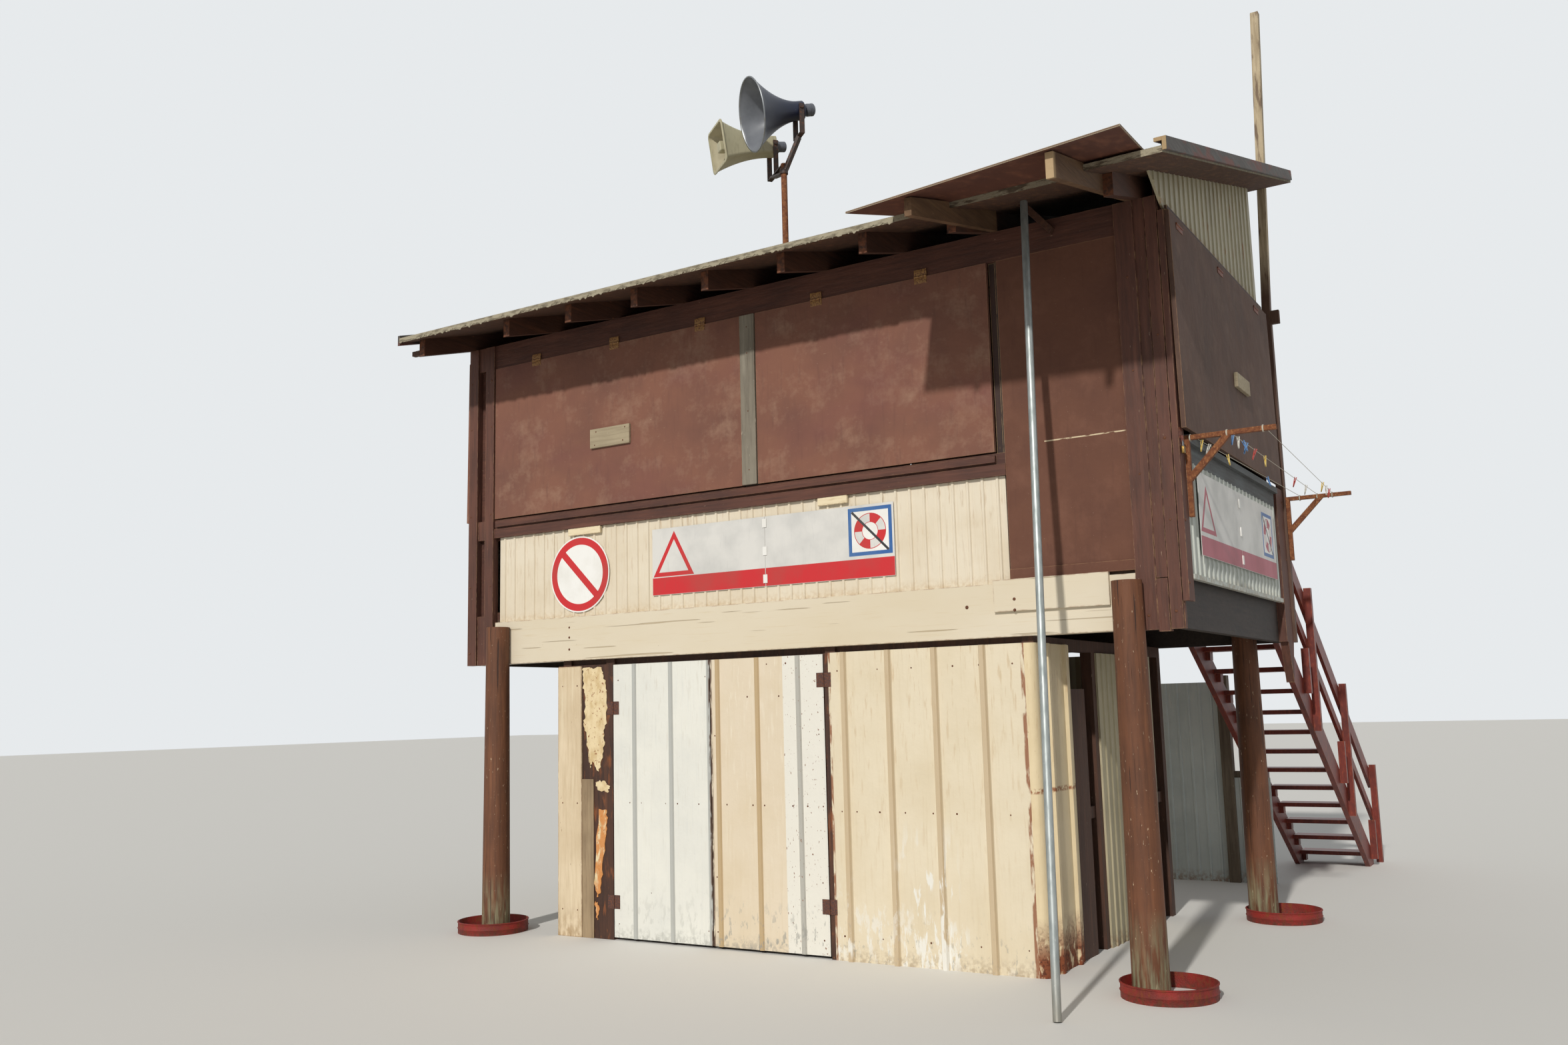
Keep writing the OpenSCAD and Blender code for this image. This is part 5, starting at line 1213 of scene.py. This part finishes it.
# Moulded peg plastic: small bright spots of colour with a soft shine, bleached in patches.
for colour, code, worn, places in (
        ("blue", "#3f74b0", "#6c93bd", ((1, 0.35), (1, 0.62), (1, 0.70), (0, 2.05))),
        ("white", "#dedbd2", "#bcb8ac", ((1, 0.48), (0, 0.60), (2, 2.72), (1, 2.6))),
        ("red", "#b8352c", "#c9685c", ((1, 0.94), (2, 2.88), (1, 2.2))),
        ("yellow", "#d9b548", "#e0cc88", ((0, 0.44), (1, 1.22), (0, 1.02), (2, 2.55)))):
    plastic = finish(colour + "_peg_plastic", code, 0.4)
    coat(plastic, patches(0.02, 0.45, 0.65), worn, 0.7)
    spots = []
    for number, y in places:
        near, far = strings[number]
        share = (y - near_y) / (far_y - near_y)
        spots.append((near + (far - near) * share, y, near_z + (far_z - near_z) * share))
    grown(colour + "_pegs", spots, pegs, plastic, "tower", "white_sheet", Seed=len(colour))

# Loudspeakers
# A horn spun from sheet metal in navy enamel, grey inside, with a rolled rim, and a square horn
# moulded in cream plastic. Each has its driver screwed to its throat.

# Navy enamel: dark and glossy, with small chips to grey metal.
navy = finish("navy_enamel_on_spun_horn", "#121a30", 0.38)
coat(navy, patches(0.1, 0.45, 0.7), "#1a233d", 0.6, 0.5)
coat(navy, patches(0.01, 0.7, 0.76, seed=4), "#8c8f98", 0.6)
# Grey enamel: a smooth shine that shows the bell's curve, dirtier in clouds.
horn_grey = finish("grey_enamel_in_horn", "#6d7076", 0.35)
coat(horn_grey, patches(0.12, 0.42, 0.7), "#54585f", 0.7)
# Bare rolled rim: a thin bright metal line round the mouth.
horn_bright = finish("bright_rolled_rim", "#8f9294", 0.45, 1.0)
coat(horn_bright, patches(0.03, 0.5, 0.7), "#7c7468", 0.6)
# Grey enamel on the drivers: a plain half-gloss can.
driver_grey = finish("grey_driver_can", "#5d6068", 0.4)
coat(driver_grey, patches(0.03, 0.5, 0.7), "#43464e", 0.7)


def aimed(x, y, z, yaw, dip=0.0):
    """A place whose Z axis points ahead of a loudspeaker and whose X axis points down."""
    return Matrix.Translation((x, y, z)) @ Matrix.Rotation(math.radians(yaw), 4, "Z") @ Matrix.Rotation(
        math.radians(90 + dip), 4, "Y")


throat_r, flare, bell_long, bell_wall = 0.062, 0.181, 0.330, 0.004


def bell_r(z):
    """Radius of the round horn's inside at a place along it."""
    return throat_r + flare * (z / bell_long) ** 1.8


NAVY, GREY, BRIGHT, CAN = range(4)
bell_start, bell_steps = 0.008, 22
stations = [bell_start + k * (bell_long - bell_start) / bell_steps for k in range(bell_steps + 1)]
profile = [(r, z, CAN) for r, z in (
    (0.0, -0.128), (0.034, -0.128), (0.038, -0.125), (0.044, -0.118), (0.044, -0.102), (0.041, -0.100),
    (0.041, -0.094), (0.044, -0.092), (0.044, -0.072), (0.036, -0.064), (0.024, -0.062))]
profile += [(r, z, NAVY) for r, z in ((0.024, -0.045), (0.062, -0.045), (0.066, -0.040), (0.066, 0.000))]
profile += [(bell_r(z) + bell_wall, z, NAVY) for z in stations[:-1]]
profile += [(r, z, BRIGHT) for r, z in ((0.2500, 0.329), (0.2535, 0.333), (0.2520, 0.337), (0.2450, 0.3365))]
profile += [(bell_r(z), z, GREY) for z in stations[::-1]]
profile += [(r, z, GREY) for r, z in (
    (0.032, 0.008), (0.028, 0.100), (0.024, 0.112), (0.012, 0.119), (0.0, 0.120))]
mast_x, mast_y, mast_top, horn_yaw = -2.090, -0.436, 5.4255, 230
horn = bmesh.new()
at_round = aimed(mast_x + 0.108, mast_y + 0.015, mast_top + 0.366, horn_yaw, 11.5)
spun(horn, profile, at_round, 72)
round_horn = settle(
    "round_horn", horn, "tower", "navy_horn", navy, horn_grey, horn_bright, driver_grey, smooth=35)
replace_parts(round_horn, "horn_round")

# Aged moulding: waxy cream, greyed and streaked by rain.
shell = finish("aged_cream_moulding", "#b8b294", 0.5)
coat(shell, patches(0.12, 0.45, 0.7), "#aca284", 0.6)
coat(shell, patches(0.02, 0.55, 0.75, (1, 1, 4), seed=3), "#8f866c", 0.6)
# The same cream inside the mouth, painted a little darker as shade: evener, with darker clouds.
inner_shell = finish("cream_inside_with_painted_shade", "#b3aa8d", 0.55)
coat(inner_shell, patches(0.08, 0.45, 0.7), "#938a70", 0.7)
neck_half, square_long, mouth_z, across, down = 0.062, 0.415, 0.405, 0.295, 0.300


def half_size(z, mouth):
    """Half the square horn's outside at a place along it."""
    return neck_half + (mouth / 2 - neck_half) * (z / square_long) ** 2


def rounded(half_down, half_across, z, radius, parts=5):
    """Corners of a rounded rectangle round the Z axis."""
    loop = []
    for quarter, (sx, sy) in enumerate(((1, 1), (-1, 1), (-1, -1), (1, -1))):
        for k in range(parts + 1):
            turn = (quarter + k / parts) * math.pi / 2
            loop.append((sx * (half_down - radius) + radius * math.cos(turn),
                         sy * (half_across - radius) + radius * math.sin(turn), z))
    return loop


def section(z, grow, radius, at=None):
    """A rounded section of the square horn at z, as wide as at another place, grown all round."""
    place = z if at is None else at
    return rounded(half_size(place, down) + grow, half_size(place, across) + grow, z, radius)


def lofted(shape, place, loops, materials):
    """A skin over loops of points, closed at both ends; each stretch has its own material."""
    rows = [[shape.verts.new(place @ Vector(point)) for point in loop] for loop in loops]
    for a, b, material in zip(rows, rows[1:], materials):
        for k in range(len(a)):
            shape.faces.new((a[k - 1], a[k], b[k], b[k - 1])).material_index = material
    shape.faces.new(rows[0]).material_index = materials[0]
    shape.faces.new(rows[-1]).material_index = materials[-1]


OUTSIDE, INSIDE, DRIVER = range(3)
square = bmesh.new()
square_turn = 3
at_square = aimed(mast_x - 0.266, mast_y + 0.259, mast_top + 0.290, horn_yaw + square_turn, 8)
outer = [section(z, 0.0, 0.012 + 0.05 * z) for z in (k * mouth_z / 14 for k in range(15))]
lip = [section(z, grow, 0.034, mouth_z) for grow, z in (
    (0.006, 0.404), (0.010, 0.407), (0.010, 0.413), (0.006, square_long), (-0.005, square_long))]
inner = [section(z, -0.005, 0.010 + 0.05 * z) for z in (mouth_z - k * 0.400 / 14 for k in range(15))]
lofted(square, at_square, outer + lip + inner, [OUTSIDE] * (len(outer) + len(lip)) + [INSIDE] * len(inner))
lofted(square, at_square, [rounded(0.030 + grow, 0.030 + grow, z, 0.008 + grow / 2, 3) for grow, z in (
    (0.0, 0.004), (0.0, 0.30), (0.006, 0.36), (0.006, 0.398), (0.0, 0.403))], [OUTSIDE] * 4)
lofted(square, at_square, [rounded(neck_half - cut, neck_half - cut, z, 0.012) for cut, z in (
    (0.004, -0.030), (0.0, -0.026), (0.0, -0.001))], [OUTSIDE] * 2)
spun(square, [(r, z, DRIVER) for r, z in (
    (0.0, -0.112), (0.032, -0.112), (0.038, -0.106), (0.038, -0.060), (0.044, -0.056), (0.044, -0.031),
    (0.0, -0.031))], at_square, 40)
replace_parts(settle("square_horn", square, "tower", "cream_horn", shell, inner_shell, driver_grey, smooth=35),
            "horn_square")

# Loudspeaker yokes
# Flat steel bars bent round each horn's neck and bolted to both its sides, with struts to the mast
# and a clamp round it, all in dark paint over rust.

# Dark paint over rust: near black and half matt, brown where it has come through.
dark_steel = finish("dark_paint_over_rust", "#33251f", 0.6)
coat(dark_steel, patches(0.02, 0.5, 0.7), "#6b3f26", 0.7)
level_round = aimed(*at_round.translation, horn_yaw)
level_square = aimed(*at_square.translation, horn_yaw + square_turn)
yoke_thick, yoke_start, bolt_z = 0.008, -0.025, -0.012
yokes = bmesh.new()
for place, r, length in ((level_round, 0.066, 0.190), (level_square, 0.0626, 0.235)):
    a, b = r + 0.0003, r + 0.0003 + yoke_thick
    for vertex in prism(yokes, 2, -0.030, 0.006, [
            (yoke_start, b), (yoke_start, a), (length - yoke_thick, a), (length - yoke_thick, -a),
            (yoke_start, -a), (yoke_start, -b), (length, -b), (length, b)]):
        vertex.co = place @ vertex.co
    for sign in (1, -1):
        bolt_at = place @ Matrix.Translation((0.0, sign * b, bolt_z))
        spun(yokes, [(0.0, 0.0, 0), (0.014, 0.0, 0), (0.014, 0.008, 0), (0.010, 0.012, 0), (0.0, 0.012, 0)],
             bolt_at @ Matrix.Rotation(-sign * math.pi / 2, 4, "X"), 6)


def strut(shape, start, end, wide, thick):
    """A flat bar between two points."""
    start, end = Vector(start), Vector(end)
    turn = (end - start).to_track_quat("Z", "Y").to_matrix().to_4x4()
    corners = prism(shape, 2, 0.0, (end - start).length, oblong(-wide / 2, -thick / 2, wide / 2, thick / 2))
    for vertex in corners:
        vertex.co = Matrix.Translation(start) @ turn @ vertex.co


round_foot = level_round @ Vector((0.188, 0.0, bolt_z))
square_foot = level_square @ Vector((0.233, 0.0, bolt_z))
strut(yokes, round_foot, (mast_x + 0.012, mast_y, mast_top - 0.05), 0.05, 0.020)
strut(yokes, square_foot, (mast_x - 0.016, mast_y + 0.016, mast_top - 0.06), 0.05, 0.012)
strut(yokes, square_foot + Vector((0.0, 0.0, 0.004)), (mast_x, mast_y, mast_top - 0.004), 0.030, 0.008)
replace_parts(settle("horn_yokes", yokes, "tower", "dark_steel", dark_steel), "horn_brackets")
collar = bmesh.new()
spun(collar, [(0.0213, -0.075, 0), (0.029, -0.075, 0), (0.029, -0.035, 0), (0.0213, -0.035, 0)],
     Matrix.Translation((mast_x, mast_y, mast_top)), 28)
settle("mast_clamps", collar, "tower", "rusty_steel", dark_steel)
